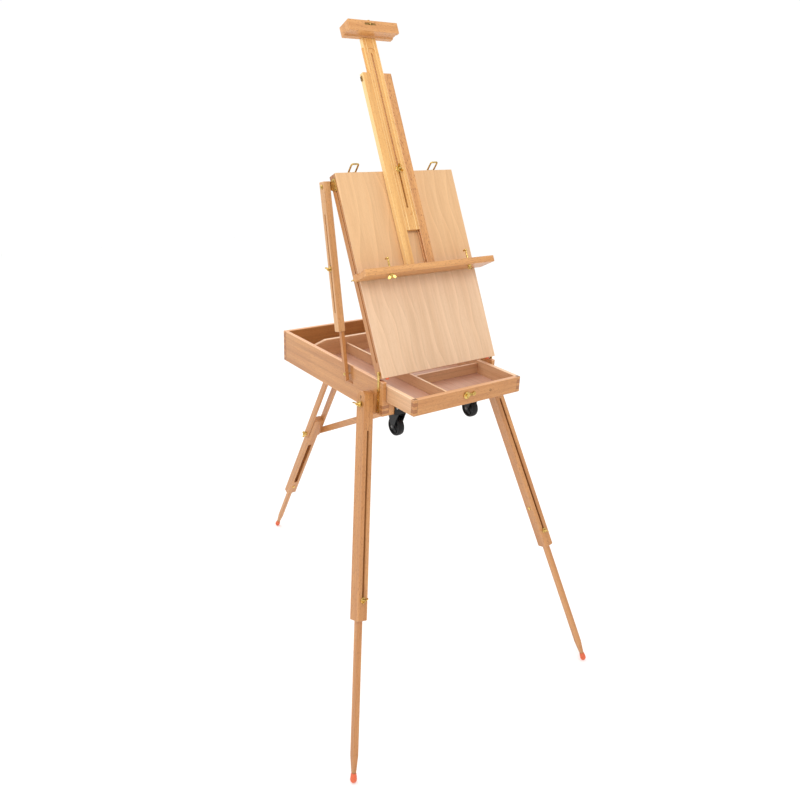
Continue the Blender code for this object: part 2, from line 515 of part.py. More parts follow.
# ------------------------------------------------------------ front legs
for sgn, tag in ((-1, "left"), (1, "right")):
    P = Vector((sgn * LEG_PIVOT[0], LEG_PIVOT[1], LEG_PIVOT[2]))
    Fc = Vector((sgn * FOOT_F[0], FOOT_F[1], TIP_R))
    d = (P - Fc)
    reach = d.length
    d.normalize()
    out = Vector((sgn * d.z, 0, -sgn * d.x * 1.0))
    out = Vector((sgn * abs(d.z), 0, abs(d.x))).normalized()
    front = d.cross(out) if d.cross(out).y < 0 else out.cross(d)
    front.normalize()
    fr = frame(P, out, front, d)                 # (outward, forward, up the leg)
    rot = frame((0, 0, 0), out.cross(d) * 0 + (d.cross(out)).cross(d), d.cross(out), d)
    rot = frame((0, 0, 0), out, d.cross(out), d)
    b = "leg_" + tag
    body(b, P, rot, "box")
    body("shin_" + tag, P + d * LEG_LOCK, rot, b)
    body("leg_pivot_wing_" + tag, P + out * 0.016, rot, b)
    body("leg_lock_wing_" + tag, P + d * LEG_LOCK, rot, "shin_" + tag)
    a, h = LEG_ACROSS / 2, LEG_DEEP / 2
    # outer leg: rounded head, hollow below for the inner leg, slotted in front
    pts = []
    for i in range(9):
        t = pi * i / 8
        pts.append((-a, h * cos(t), LEG_TOP - h + h * sin(t)))
    pts += [(-a, -h, LEG_BOTTOM), (-a, h, LEG_BOTTOM)]
    bm = bmesh.new()
    prism(bm, pts, (0, 0, 0), (LEG_ACROSS, 0, 0))
    lg = make("leg_%s_outer" % tag, bm, b, (BEECH, 0.47), fr, bevel=0.0014)
    c = INNER / 2 + GAP
    cutbox(lg, "bore", b, (-c, -c, LEG_BOTTOM - 0.01), (c, c, -0.050), fr)
    cutslot(lg, "slot", b, P + front * 0.02 + d * LEG_SLOT[0], P + front * 0.02 + d * LEG_SLOT[1], 0.0026, front, 0.016)
    cutrod(lg, "pivot_hole", b, (-0.03, 0, 0), (0.03, 0, 0), 0.0034, fr, 14)
    # inner leg, tapering to the tip
    k = INNER / 2
    z_top, z_tap, z_end = LEG_LOCK + 0.016, -reach + 0.062, -reach + 0.016
    bm = bmesh.new()
    vs = box(bm, (-k, -k, z_tap), (k, k, z_top))
    low = [v for v in bm.verts if abs(v.co.z - z_tap) < 1e-6]
    f = [f for f in bm.faces if all(v in low for v in f.verts)]
    ex = bmesh.ops.extrude_face_region(bm, geom=f)
    nv = [g for g in ex["geom"] if isinstance(g, bmesh.types.BMVert)]
    bmesh.ops.delete(bm, geom=f, context="FACES_ONLY")
    bmesh.ops.translate(bm, verts=nv, vec=(0, 0, z_end - z_tap))
    bmesh.ops.scale(bm, vec=(0.62, 0.62, 1), verts=nv)
    bmesh.ops.recalc_face_normals(bm, faces=bm.faces)
    make("leg_%s_inner" % tag, bm, "shin_" + tag, (BEECH, 0.45), fr, bevel=0.0009)
    # rubber tip
    bm = bmesh.new()
    bmesh.ops.create_uvsphere(bm, u_segments=18, v_segments=10, radius=TIP_R, matrix=Matrix.Translation((0, 0, -reach)))
    tp = make("leg_%s_tip" % tag, bm, "shin_" + tag, (RUBBER, 0.6), fr, smooth=True)
    bm = bmesh.new()
    rod(bm, (0, 0, -reach), (0, 0, z_end - GAP), TIP_R - 0.0001, 18, 0.0072)
    join_union(tp, "collar", "shin_" + tag, bm, fr)
    # pivot bolt through leg and wedge, wing outside
    fw = fr @ frame((0, 0, 0), (0, 1, 0), (1, 0, 0), (0, 0, 1))
    wing("leg_pivot_wing_" + tag, "leg_pivot_wing_" + tag, fw, -a - 0.0070, a + 0.0040, a + GAP, r=0.0030, hub=0.0058, span=0.0125)
    # lock bolt: fixed in the inner leg, stands through the slot
    fw = fr @ frame((0, 0, LEG_LOCK), (1, 0, 0), (0, 1, 0), (0, 0, 1)) @ Matrix.Rotation(radians(35), 4, "Y")
    wing("leg_lock_wing_" + tag, "leg_lock_wing_" + tag, fw, k + GAP, h + 0.0040, h + GAP, r=0.0021, hub=0.0052, span=0.0105)
    # wedge block that gives the leg its splay
    bm = bmesh.new()
    box(bm, (BOX_HALF_W + GAP, LEG_PIVOT[1] - 0.017, BOX_Z0 + GAP), (BOX_HALF_W + 0.04, LEG_PIVOT[1] + 0.017, 0.9550))
    no = Vector((abs(out.x), 0, out.z))
    co = Vector(LEG_PIVOT) - no * (a + GAP)
    geom = list(bm.verts) + list(bm.edges) + list(bm.faces)
    bmesh.ops.bisect_plane(bm, geom=geom, plane_co=co, plane_no=no, clear_outer=True)
    bmesh.ops.holes_fill(bm, edges=[e for e in bm.edges if e.is_boundary])
    bmesh.ops.recalc_face_normals(bm, faces=bm.faces)
    wd = make("leg_wedge_" + tag, bm, "box", (BEECH, 0.48), side(sgn), bevel=0.0)
    cutrod(wd, "bolt_hole", "box", (-0.0300, 0, 0), (0.03, 0, 0), 0.0034, fr, 14)

# -------------------------------------------------------------- rear leg
H = Vector((0, FOOT_R - REAR_SLOPE * (REAR_PIVOT_Z - TIP_R), REAR_PIVOT_Z))
Rc = Vector((0, FOOT_R, TIP_R))
d = H - Rc
reach = d.length
d.normalize()
rear_front = Vector((0, -d.z, d.y)) * -1
rear_front = Vector((0, -d.z, d.y)) if -d.z < 0 else Vector((0, d.z, -d.y))
fr = frame(H, (1, 0, 0), rear_front, d)          # (x, forward, up the leg)
rot = frame((0, 0, 0), (1, 0, 0), d.cross(Vector((1, 0, 0))), d)
body("rear_leg", H, rot, "box")
body("rear_middle", H + d * REAR_TOP, rot, "rear_leg")
body("rear_shin", H + d * REAR_BOTTOM, rot, "rear_middle")
for sgn, tag in ((-1, "left"), (1, "right")):
    pts = []
    h = BAR_D / 2
    for i in range(7):
        t = pi * i / 6
        pts.append((sgn * BAR_X0, h * cos(t), BAR_TOP - h + h * sin(t)))
    for i in range(7):
        t = pi + pi * i / 6
        pts.append((sgn * BAR_X0, h * cos(t), BAR_BOTTOM + h + h * sin(t)))
    bm = bmesh.new()
    prism(bm, pts, (0, 0, 0), (sgn * BAR_T, 0, 0))
    br = make("rear_leg_bar_" + tag, bm, "rear_leg", (BEECH_WARM, 0.47), fr, bevel=0.0008)
    cutrod(br, "pin_hole", "rear_leg", (-0.05, 0, 0), (0.05, 0, 0), 0.0033, fr, 14)
mid = board("rear_leg_middle", "rear_middle", (-REAR_W / 2, -REAR_D / 2, REAR_BOTTOM), (REAR_W / 2, REAR_D / 2, REAR_TOP), (BEECH, 0.47), fr, bevel=0.0012)
cx, cy = REAR_INNER[0] / 2 + GAP, REAR_INNER[1] / 2 + GAP
cutbox(mid, "bore", "rear_middle", (-cx, -cy, REAR_BOTTOM - 0.01), (cx, cy, REAR_TOP - 0.018), fr)
cutbox(mid, "slot", "rear_middle", (-REAR_SLOT_HALF, 0, REAR_SLOT[0]), (REAR_SLOT_HALF, 0.03, REAR_SLOT[1]), fr)
kx, ky = REAR_INNER[0] / 2, REAR_INNER[1] / 2
z_tap, z_end = -reach + 0.062, -reach + 0.016
bm = bmesh.new()
box(bm, (-kx, -ky, z_tap), (kx, ky, REAR_BOTTOM + 0.068))
f = [f for f in bm.faces if all(abs(v.co.z - z_tap) < 1e-6 for v in f.verts)]
ex = bmesh.ops.extrude_face_region(bm, geom=f)
nv = [g for g in ex["geom"] if isinstance(g, bmesh.types.BMVert)]
bmesh.ops.delete(bm, geom=f, context="FACES_ONLY")
bmesh.ops.translate(bm, verts=nv, vec=(0, 0, z_end - z_tap))
bmesh.ops.scale(bm, vec=(0.60, 0.66, 1), verts=nv)
bmesh.ops.recalc_face_normals(bm, faces=bm.faces)
make("rear_leg_inner", bm, "rear_shin", (BEECH, 0.45), fr, bevel=0.0009)
bm = bmesh.new()
bmesh.ops.create_uvsphere(bm, u_segments=18, v_segments=10, radius=TIP_R, matrix=Matrix.Translation((0, 0, -reach)))
tp = make("rear_leg_tip", bm, "rear_shin", (RUBBER, 0.6), fr, smooth=True)
bm = bmesh.new()
rod(bm, (0, 0, -reach), (0, 0, z_end - GAP), TIP_R - 0.0001, 18, 0.0072)
join_union(tp, "collar", "rear_shin", bm, fr)
# hinge block under the box with the rear leg's pin
bm = bmesh.new()
box(bm, (-BAR_X0 + GAP, H.y - 0.0125, H.z - 0.0115), (BAR_X0 - GAP, H.y + 0.0125, BOX_Z0 - GAP))
rb = make("rear_leg_block", bm, "box", (BEECH_WARM, 0.5), bevel=0.0010)
bm = bmesh.new()
rod(bm, (-BAR_X0 - BAR_T - 0.003, H.y, H.z), (BAR_X0 + BAR_T + 0.003, H.y, H.z), 0.0030, 14)
join_union(rb, "pin", "box", bm)

# folding brace of the rear leg: two links side by side
A = H + d * BRACE_A
B = Vector((0, *BRACE_B))
ab = hypot(A.y - B.y, A.z - B.z)
fold = abs((H.y + BRACE_A) - B.y)
L1, L2 = (ab + fold) / 2, (ab - fold) / 2
u = Vector((0, A.y - B.y, A.z - B.z)).normalized()
v = Vector((0, -u.z, u.y))
M = B + u * L1
bx2 = BAR_X0 + BAR_T + GAP
bx1 = bx2 + BRACE_T + GAP
rotb = frame((0, 0, 0), (1, 0, 0), u.cross(Vector((1, 0, 0))), u)
body("brace_front", B, rotb, "box")
body("brace_rear", M, rotb, "brace_front")


def link(name, bod, start, length, x0, x1, mat):
    """Flat bar with round ends, pivots at both."""
    h = BRACE_H / 2
    o = Vector((0, start.y, start.z))
    pts = []
    for i in range(7):
        t = -pi / 2 + pi * i / 6
        pts.append(o + u * (length + h * cos(t)) + v * (h * sin(t)) + Vector((x0, 0, 0)))
    for i in range(7):
        t = pi / 2 + pi * i / 6
        pts.append(o + u * (h * cos(t)) + v * (h * sin(t)) + Vector((x0, 0, 0)))
    bm = bmesh.new()
    prism(bm, pts, (0, 0, 0), (x1 - x0, 0, 0))
    return make(name, bm, bod, mat, bevel=0.0008)


bf = link("rear_brace_front", "brace_front", B, L1, bx1, bx1 + BRACE_T, (BEECH, 0.48))
br = link("rear_brace_rear", "brace_rear", M, L2, bx2, bx2 + BRACE_T, (BEECH, 0.48))
cutrod(bf, "m_hole", "brace_front", (bx1 - 0.01, M.y, M.z), (bx1 + 0.03, M.y, M.z), 0.0026, seg=14)
bm = bmesh.new()                               # middle pin, fixed in the rear link
rod(bm, (bx2 + 0.002, M.y, M.z), (bx1 + BRACE_T + 0.0022, M.y, M.z), 0.0022, 14)
join_union(br, "pin", "brace_rear", bm)

# --------------------------------------------------------------- castors
for sgn, tag in ((-1, "left"), (1, "right")):
    fr = side(sgn)
    wx, wy, wz = WHEEL_C
    b = "castor_" + tag
    body(b, (sgn * wx, wy, wz), parent="box")
    x0, x1 = wx - 0.0245, wx + 0.0245
    bm = bmesh.new()
    box(bm, (x0, -0.0033, BOX_Z0 - 0.0033), (x1, 0.050, BOX_Z0 - GAP))
    br = make("castor_bracket_" + tag, bm, "box", (BLACK, 0.35), fr)
    bm = bmesh.new()
    box(bm, (x0, -0.0033, BOX_Z0 - 0.0033), (x1, -GAP, 0.9270))
    join_union(br, "plate", "box", bm, fr)
    ch = WHEEL_W / 2 + 0.0016
    for s, t in ((1, "a"), (-1, "b")):
        xa = wx + s * ch
        pts = [(xa, -0.0033, BOX_Z0 - 0.0020), (xa, 0.049, BOX_Z0 - 0.0020)]
        for i in range(7):
            an = radians(20 - 220 * i / 6)
            pts.append((xa, wy + 0.0085 * cos(an), wz + 0.0085 * sin(an)))
        bm = bmesh.new()
        prism(bm, pts, (0, 0, 0), (s * 0.0026, 0, 0))
        join_union(br, "cheek_" + t, "box", bm, fr)
    bm = bmesh.new()
    rod(bm, (wx - ch - 0.004, wy, wz), (wx + ch + 0.004, wy, wz), 0.0028, 12)
    join_union(br, "axle", "box", bm, fr)
    bm = bmesh.new()
    rod(bm, (wx - WHEEL_W / 2, wy, wz), (wx + WHEEL_W / 2, wy, wz), WHEEL_R, 32)
    wh = make("castor_wheel_" + tag, bm, b, (BLACK, 0.45), fr, bevel=0.0030, seg=2, smooth=True)
    cutrod(wh, "bore", b, (wx - 0.03, wy, wz), (wx + 0.03, wy, wz), 0.0032, fr, 12)
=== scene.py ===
"""Scene of the french box easel: materials, small hardware, camera, floor and light.

Metres, +Z up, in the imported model's own frame: origin on the floor, -Y towards the artist.
"""
import json
from math import radians, sin, cos, pi, sqrt, atan2, hypot
import bpy
import bmesh
from mathutils import Matrix, Vector


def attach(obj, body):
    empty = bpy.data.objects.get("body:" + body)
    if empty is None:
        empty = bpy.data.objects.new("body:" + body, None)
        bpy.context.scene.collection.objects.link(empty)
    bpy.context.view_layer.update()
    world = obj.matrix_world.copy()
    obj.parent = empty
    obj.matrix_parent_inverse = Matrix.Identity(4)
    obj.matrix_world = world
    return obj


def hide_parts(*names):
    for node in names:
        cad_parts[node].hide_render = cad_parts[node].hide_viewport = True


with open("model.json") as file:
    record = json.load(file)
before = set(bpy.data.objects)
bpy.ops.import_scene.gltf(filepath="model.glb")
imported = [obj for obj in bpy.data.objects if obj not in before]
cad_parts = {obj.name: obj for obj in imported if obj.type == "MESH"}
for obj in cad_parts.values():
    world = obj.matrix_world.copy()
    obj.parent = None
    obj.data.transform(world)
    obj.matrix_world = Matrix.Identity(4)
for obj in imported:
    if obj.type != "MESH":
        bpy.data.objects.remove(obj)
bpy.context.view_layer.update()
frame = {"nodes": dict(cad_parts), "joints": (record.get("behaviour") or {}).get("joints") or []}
NODES = frame["nodes"]
JOINTS = {j["name"]: j for j in frame["joints"]}

# ------------------------------------------------------------------ layout
YO = -0.37375                     # design frame (y = 0 on the box front) to this frame
BOX_HALF_W, BOX_L, BOX_Z0, BOX_Z1, WALL = 0.197, 0.555, 0.8985, 0.9955, 0.0115
LID_L, LID_D, PANEL_T, STILE_T = 0.556, 0.0317, 0.0040, 0.012
BETA = radians(26.494)
UP = Vector((0, sin(BETA), cos(BETA)))
NF = Vector((0, -cos(BETA), sin(BETA)))
FB = Vector((0, 0.0009 + YO, 1.0073))


def frame4(origin, x, y, z):
    m = Matrix.Identity(4)
    for i, a in enumerate((x, y, z)):
        m.col[i][:3] = a
    m.col[3][:3] = origin
    return m


LID = frame4(FB, (1, 0, 0), NF, UP)


def lidp(x, n, s):
    return Vector((x, 0, 0)) + FB + NF * n + UP * s


def V(x, y, z):
    """A point of the design frame."""
    return Vector((x, y + YO, z))


def side(sgn):
    return Matrix.Diagonal((sgn, 1, 1, 1))


FOOT = {s: Vector((s * 0.4443, -0.2713 + YO, 0.0090)) for s in (-1, 1)}
PIVOT = {s: Vector((s * 0.2225, 0.045 + YO, 0.925)) for s in (-1, 1)}


def leg_frame(s):
    d = (PIVOT[s] - FOOT[s]).normalized()
    out = Vector((s * abs(d.z), 0, abs(d.x))).normalized()
    front = d.cross(out)
    if front.y > 0:
        front = -front
    return frame4(PIVOT[s], out, front.normalized(), d)


LEG = {s: leg_frame(s) for s in (-1, 1)}
LEG_REACH = (PIVOT[1] - FOOT[1]).length
REAR_H = V(0, 1.0188 - 0.5623 * (0.868 - 0.0090), 0.868)
REAR_F = V(0, 1.0188, 0.0090)
RD = (REAR_H - REAR_F).normalized()
REAR = frame4(REAR_H, (1, 0, 0), Vector((0, -RD.z, RD.y)), RD)
REAR_REACH = (REAR_H - REAR_F).length
SF = V(0, 0.170, 0.970)
ST = lidp(0, -0.0435, 0.534)
PIN = lidp(0, -0.0135, 0.0143)     # lid's hinge axis
SDIR = (ST - SF).normalized()
SLEN = (ST - SF).length
SPERP = Vector((0, -SDIR.z, SDIR.y))
STRUT = {s: frame4(SF, (s, 0, 0), SPERP, SDIR) for s in (-1, 1)}

# --------------------------------------------------------------- materials


class Nodes:
    """Small helper that wires a material's node tree."""

    def __init__(self, name):
        self.m = bpy.data.materials.new(name)
        self.m.use_nodes = True
        self.t = self.m.node_tree
        self.b = self.t.nodes["Principled BSDF"]

    def new(self, kind, **kw):
        n = self.t.nodes.new(kind)
        for k, v in kw.items():
            setattr(n, k, v)
        return n

    def put(self, sock, val):
        if isinstance(val, bpy.types.NodeSocket):
            self.t.links.new(val, sock)
        elif val is not None:
            sock.default_value = val

    def coords(self, rot=None, scale=(1, 1, 1), loc=(0, 0, 0)):
        """Object coordinates turned so that local X runs along rot's first column, then scaled."""
        tc = self.new("ShaderNodeTexCoord").outputs["Object"]
        if rot is not None:
            mp = self.new("ShaderNodeMapping")
            mp.inputs["Rotation"].default_value = rot.to_3x3().transposed().to_euler("XYZ")
            self.t.links.new(tc, mp.inputs["Vector"])
            tc = mp.outputs[0]
        mp = self.new("ShaderNodeMapping")
        mp.inputs["Scale"].default_value = scale
        mp.inputs["Location"].default_value = loc
        self.t.links.new(tc, mp.inputs["Vector"])
        return mp.outputs[0]

    def noise(self, vec, scale=1.0, detail=3.0, rough=0.5, dist=0.0):
        n = self.new("ShaderNodeTexNoise")
        self.put(n.inputs["Vector"], vec)
        n.inputs["Scale"].default_value = scale
        n.inputs["Detail"].default_value = detail
        n.inputs["Roughness"].default_value = rough
        n.inputs["Distortion"].default_value = dist
        return n.outputs["Fac"]

    def ramp(self, fac, stops):
        r = self.new("ShaderNodeValToRGB")
        e = r.color_ramp.elements
        while len(e) < len(stops):
            e.new(0.5)
        for el, (p, c) in zip(e, stops):
            el.position = p
            el.color = (*c, 1) if len(c) == 3 else c
        self.t.links.new(fac, r.inputs["Fac"])
        return r.outputs["Color"]

    def mix(self, fac, a, b, mode="MIX"):
        n = self.new("ShaderNodeMix", data_type="RGBA", blend_type=mode)
        self.put(n.inputs[0], fac)
        self.put(n.inputs[6], a if isinstance(a, bpy.types.NodeSocket) else (*a, 1))
        self.put(n.inputs[7], b if isinstance(b, bpy.types.NodeSocket) else (*b, 1))
        return n.outputs[2]

    def math(self, op, a, b=0.0, c=None, clamp=False):
        n = self.new("ShaderNodeMath", operation=op, use_clamp=clamp)
        self.put(n.inputs[0], a)
        self.put(n.inputs[1], b)
        if c is not None:
            self.put(n.inputs[2], c)
        return n.outputs[0]

    def maprange(self, v, a, b, c=0.0, d=1.0):
        n = self.new("ShaderNodeMapRange")
        self.put(n.inputs[0], v)
        for i, x in enumerate((a, b, c, d)):
            n.inputs[i + 1].default_value = x
        return n.outputs[0]

    def bump(self, h, strength, dist):
        n = self.new("ShaderNodeBump")
        n.inputs["Strength"].default_value = strength
        n.inputs["Distance"].default_value = dist
        self.t.links.new(h, n.inputs["Height"])
        self.t.links.new(n.outputs[0], self.b.inputs["Normal"])


def basis(grain, hint=(0, 0, 1)):
    """Rotation whose first column is the grain direction."""
    x = Vector(grain).normalized()
    h = Vector(hint)
    if abs(x.dot(h.normalized())) > 0.95:
        h = Vector((0, 1, 0)) if abs(x.y) < 0.9 else Vector((1, 0, 0))
    y = h.cross(x).normalized()
    return frame4((0, 0, 0), x, y, x.cross(y))


#            light                  dark                   fleck
TONES = {
    "beech": ((0.640, 0.305, 0.104), (0.500, 0.210, 0.064), (0.27, 0.095, 0.030)),
    "warm": ((0.620, 0.290, 0.098), (0.480, 0.198, 0.060), (0.27, 0.095, 0.028)),
    "mast": ((0.760, 0.385, 0.136), (0.610, 0.272, 0.083), (0.28, 0.095, 0.028)),
    "gold": ((0.850, 0.490, 0.165), (0.740, 0.375, 0.108), (0.40, 0.160, 0.045)),
    "sleeve": ((0.780, 0.450, 0.210), (0.650, 0.345, 0.145), (0.40, 0.180, 0.070)),
    "pale": ((0.750, 0.455, 0.255), (0.650, 0.365, 0.190), (0.48, 0.250, 0.115)),
    "ply": ((0.775, 0.478, 0.240), (0.710, 0.420, 0.200), (0.55, 0.295, 0.125)),
    "floor": ((0.660, 0.385, 0.275), (0.590, 0.325, 0.222), (0.46, 0.240, 0.150)),
}


def wood(name, grain, tone="beech", seed=0, fleck=0.55, rough=0.36, joints=None, streak=1.0, hint=(0, 0, 1), ring=0.5, flame=0.0, edges=None):
    """Clear-varnished timber: long tone streaks, growth-ring bands, fine fibres and beech flecks."""
    k = Nodes(name)
    rot = basis(grain, hint)
    light, dark, spot = TONES[tone]
    off = (seed * 0.731, seed * 1.37, seed * 0.417)
    warp = k.noise(k.coords(rot, (3.0, 9.0, 9.0), off), 1.0, 2.0, 0.5)
    v = k.coords(rot, (2.2, 46.0, 46.0), off)
    add = k.new("ShaderNodeVectorMath", operation="ADD")
    k.put(add.inputs[0], v)
    k.put(add.inputs[1], warp)
    long_streak = k.noise(add.outputs[0], 1.0, 4.0, 0.55, 0.3)
    col = k.mix(k.maprange(long_streak, 0.36, 0.66), light, dark)
    # growth rings, as soft darker bands that wander along the grain
    rings = k.noise(k.coords(rot, (1.4, 120.0, 120.0), off), 1.0, 2.0, 0.45, 0.6)
    col = k.mix(k.math("MULTIPLY", k.maprange(rings, 0.52, 0.62), 0.50 * ring), col, tuple(c * 0.72 for c in dark))
    # fine fibres
    fib = k.noise(k.coords(rot, (26.0, 1100.0, 1100.0), off), 1.0, 2.0, 0.6)
    col = k.mix(0.30 * streak, col, k.ramp(fib, [(0.30, (0.52, 0.50, 0.48)), (0.70, (1.0, 1.0, 1.0))]), "MULTIPLY")
    # flecks: short dark lenses along the grain
    fl = k.noise(k.coords(rot, (130.0, 620.0, 620.0), off), 1.0, 1.0, 0.4)
    mask = k.math("MULTIPLY", k.maprange(fl, 0.600, 0.675), fleck)
    col = k.mix(mask, col, spot)
    # broad board-to-board tone
    broad = k.noise(k.coords(rot, (1.1, 5.0, 5.0), off), 1.0, 1.0, 0.5)
    col = k.mix(0.35, col, k.ramp(broad, [(0.30, (0.86, 0.82, 0.78)), (0.70, (1.06, 1.05, 1.04))]), "MULTIPLY")
    if flame:
        # flat-sawn veneer: nested wandering lines; and painted shade: a mauve tint on the lower part, under the ledge
        wv = k.new("ShaderNodeTexWave", wave_type="BANDS", bands_direction="Y", wave_profile="SAW")
        k.put(wv.inputs["Vector"], k.coords(rot, (1.0, 1.0, 1.0), off))
        wv.inputs["Scale"].default_value = 7.0
        wv.inputs["Distortion"].default_value = 9.0
        wv.inputs["Detail"].default_value = 1.0
        wv.inputs["Detail Scale"].default_value = 0.55
        line = k.maprange(wv.outputs["Fac"], 0.80, 1.0)
        col = k.mix(k.math("MULTIPLY", line, 0.22 * flame), col, tuple(c * 0.74 for c in dark))
        pale = k.maprange(wv.outputs["Fac"], 0.28, 0.0)
        col = k.mix(k.math("MULTIPLY", pale, 0.22 * flame), col, tuple(min(1.0, c * 1.22) for c in light))
        sep = k.new("ShaderNodeSeparateXYZ")
        k.t.links.new(k.new("ShaderNodeTexCoord").outputs["Object"], sep.inputs[0])
        # painted shade under the ledge: full below z 1.225, fading out by z 1.290
        under_ledge_shade = k.maprange(sep.outputs[2], 1.290, 1.225)
        col = k.mix(under_ledge_shade, col, k.mix(1.0, col, (0.99, 1.09, 1.38), "MULTIPLY"))
    # painted highlights: pale lines along the arrises listed in edges
    for e in edges or ():
        col = painted_edge_highlight(k, col, light, **e)
    for j in joints or ():
        col = finger(k, col, dark, **j)
    k.put(k.b.inputs["Base Color"], col)
    k.put(k.b.inputs["Roughness"], k.maprange(fib, 0.2, 0.8, rough - 0.05, rough + 0.10))
    k.b.inputs["Coat Weight"].default_value = 0.18
    k.b.inputs["Coat Roughness"].default_value = 0.22
    h = k.math("ADD", k.math("MULTIPLY", fib, 0.6), k.math("MULTIPLY", long_streak, 0.4))
    k.bump(h, 0.10, 0.0006)
    return k.m


def painted_edge_highlight(k, col, light, u=0, at=(0.0,), w=0.0009, amt=0.55):
    """Painted highlights on the arrises: pale lines where axis u equals one of the values at."""
    sep = k.new("ShaderNodeSeparateXYZ")
    k.t.links.new(k.new("ShaderNodeTexCoord").outputs["Object"], sep.inputs[0])
    d = None
    for v in at:
        q = k.math("ABSOLUTE", k.math("SUBTRACT", sep.outputs[u], v))
        d = q if d is None else k.math("MINIMUM", d, q)
    return k.mix(k.maprange(d, w * 0.35, w, amt, 0.0), col, tuple(min(1.0, c * 1.18 + 0.16) for c in light))


def finger(k, col, dark, rot=None, org=(0, 0, 0), u=0, u0=0.0, u1=0.01, v=2, pitch=0.0108, v0=0.0, v1=1.0, phase=0):
    """Finger-joint pattern: between u0 and u1 along axis u, end grain and long grain alternate along axis v."""
    m = Matrix.Translation(org) @ (rot if rot is not None else Matrix.Identity(4))
    tc = k.new("ShaderNodeTexCoord").outputs["Object"]
    mp = k.new("ShaderNodeMapping", vector_type="POINT")
    inv = m.inverted()
    mp.inputs["Rotation"].default_value = inv.to_3x3().to_euler("XYZ")
    mp.inputs["Location"].default_value = inv.translation
    k.t.links.new(tc, mp.inputs["Vector"])
    sep = k.new("ShaderNodeSeparateXYZ")
    k.t.links.new(mp.outputs[0], sep.inputs[0])
    a, b = sep.outputs[u], sep.outputs[v]
    inu = k.math("MULTIPLY", k.math("GREATER_THAN", a, u0), k.math("LESS_THAN", a, u1))
    inv_ = k.math("MULTIPLY", k.math("GREATER_THAN", b, v0), k.math("LESS_THAN", b, v1))
    zone = k.math("MULTIPLY", inu, inv_)
    t = k.math("DIVIDE", k.math("SUBTRACT", b, v0), pitch)
    half = k.math("FRACT", k.math("MULTIPLY", t, 0.5))
    tooth = k.math("GREATER_THAN" if phase == 0 else "LESS_THAN", half, 0.5)
    grain = k.noise(k.coords(None, (700, 700, 700)), 1.0, 2.0, 0.6)
    end = k.ramp(grain, [(0.35, (dark[0] * 0.50, dark[1] * 0.40, dark[2] * 0.40)), (0.65, (dark[0] * 0.74, dark[1] * 0.62, dark[2] * 0.60))])
    col = k.mix(k.math("MULTIPLY", k.math("MULTIPLY", tooth, zone), 0.80), col, end)
    # dark glue lines between the teeth and along the joint's shoulder
    fr = k.math("FRACT", t)
    near = k.math("MINIMUM", fr, k.math("SUBTRACT", 1.0, fr))
    line = k.math("LESS_THAN", near, 0.00035 / pitch)
    sh = k.math("LESS_THAN", k.math("MINIMUM", k.math("ABSOLUTE", k.math("SUBTRACT", a, u0)), k.math("ABSOLUTE", k.math("SUBTRACT", a, u1))), 0.0004)
    lines = k.math("MAXIMUM", k.math("MULTIPLY", line, inu), sh)
    return k.mix(k.math("MULTIPLY", k.math("MULTIPLY", lines, inv_), 0.75), col, tuple(c * 0.28 for c in dark))


def brass_mat(name="brass_polished", rough=0.20, base=(0.78, 0.54, 0.17), dull=(0.34, 0.21, 0.06)):
    k = Nodes(name)
    n1 = k.noise(k.coords(None, (160, 160, 160)), 1.0, 4.0, 0.6)
    n2 = k.noise(k.coords(None, (1500, 1500, 300)), 1.0, 2.0, 0.5)
    k.put(k.b.inputs["Base Color"], k.mix(k.maprange(n1, 0.42, 0.66), base, dull))
    k.put(k.b.inputs["Roughness"], k.math("ADD", k.maprange(n1, 0.3, 0.8, rough, rough + 0.16), k.maprange(n2, 0.3, 0.8, 0.0, 0.06)))
    k.b.inputs["Metallic"].default_value = 1.0
    k.bump(n2, 0.05, 0.0002)
    return k.m


def plastic_mat(name, base, rough, bump=0.08, spec=0.5):
    k = Nodes(name)
    n1 = k.noise(k.coords(None, (900, 900, 900)), 1.0, 3.0, 0.6)
    n2 = k.noise(k.coords(None, (60, 60, 60)), 1.0, 3.0, 0.6)
    k.put(k.b.inputs["Base Color"], k.mix(k.maprange(n2, 0.45, 0.75), base, tuple(min(1, c * 1.7 + 0.002) for c in base)))
    k.put(k.b.inputs["Roughness"], k.maprange(n2, 0.3, 0.8, rough, rough + 0.14))
    k.b.inputs["Specular IOR Level"].default_value = spec
    k.bump(n1, bump, 0.0002)
    return k.m


def rubber_mat(name="rubber_orange", base=(0.76, 0.150, 0.060)):
    k = Nodes(name)
    n1 = k.noise(k.coords(None, (420, 420, 420)), 1.0, 3.0, 0.6)
    n2 = k.noise(k.coords(None, (90, 90, 90)), 1.0, 3.0, 0.6)
    col = k.mix(k.maprange(n2, 0.40, 0.75), base, tuple(c * 0.78 for c in base))
    k.put(k.b.inputs["Base Color"], col)
    k.put(k.b.inputs["Roughness"], k.maprange(n1, 0.3, 0.7, 0.50, 0.68))
    k.bump(n1, 0.12, 0.0003)
    return k.m


BRASS = brass_mat()
BRASS_DULL = brass_mat("brass_plate", 0.30, (0.70, 0.48, 0.15), (0.30, 0.18, 0.05))
DARK_BRASS = brass_mat("brass_aged", 0.36, (0.34, 0.21, 0.07), (0.12, 0.07, 0.03))
STEEL = brass_mat("steel_screw", 0.28, (0.62, 0.60, 0.57), (0.40, 0.38, 0.36))
BLACK = plastic_mat("castor_black", (0.0045, 0.0045, 0.0050), 0.34, spec=0.28)
TREAD = plastic_mat("castor_tread", (0.0060, 0.0060, 0.0065), 0.46, 0.15, spec=0.25)
# grey for the castors' axle heads: painted highlight on the hub
HUB_HIGHLIGHT = plastic_mat("castor_hub_painted_highlight", (0.060, 0.062, 0.066), 0.30)
# near-black brown for holes and screw slots: painted shade
HOLE_SHADE = plastic_mat("painted_hole_shade", (0.030, 0.014, 0.007), 0.80)
RUBBER = rubber_mat()


def paint(node, mat):
    ob = NODES[node]
    ob.data.materials.clear()
    ob.data.materials.append(mat)


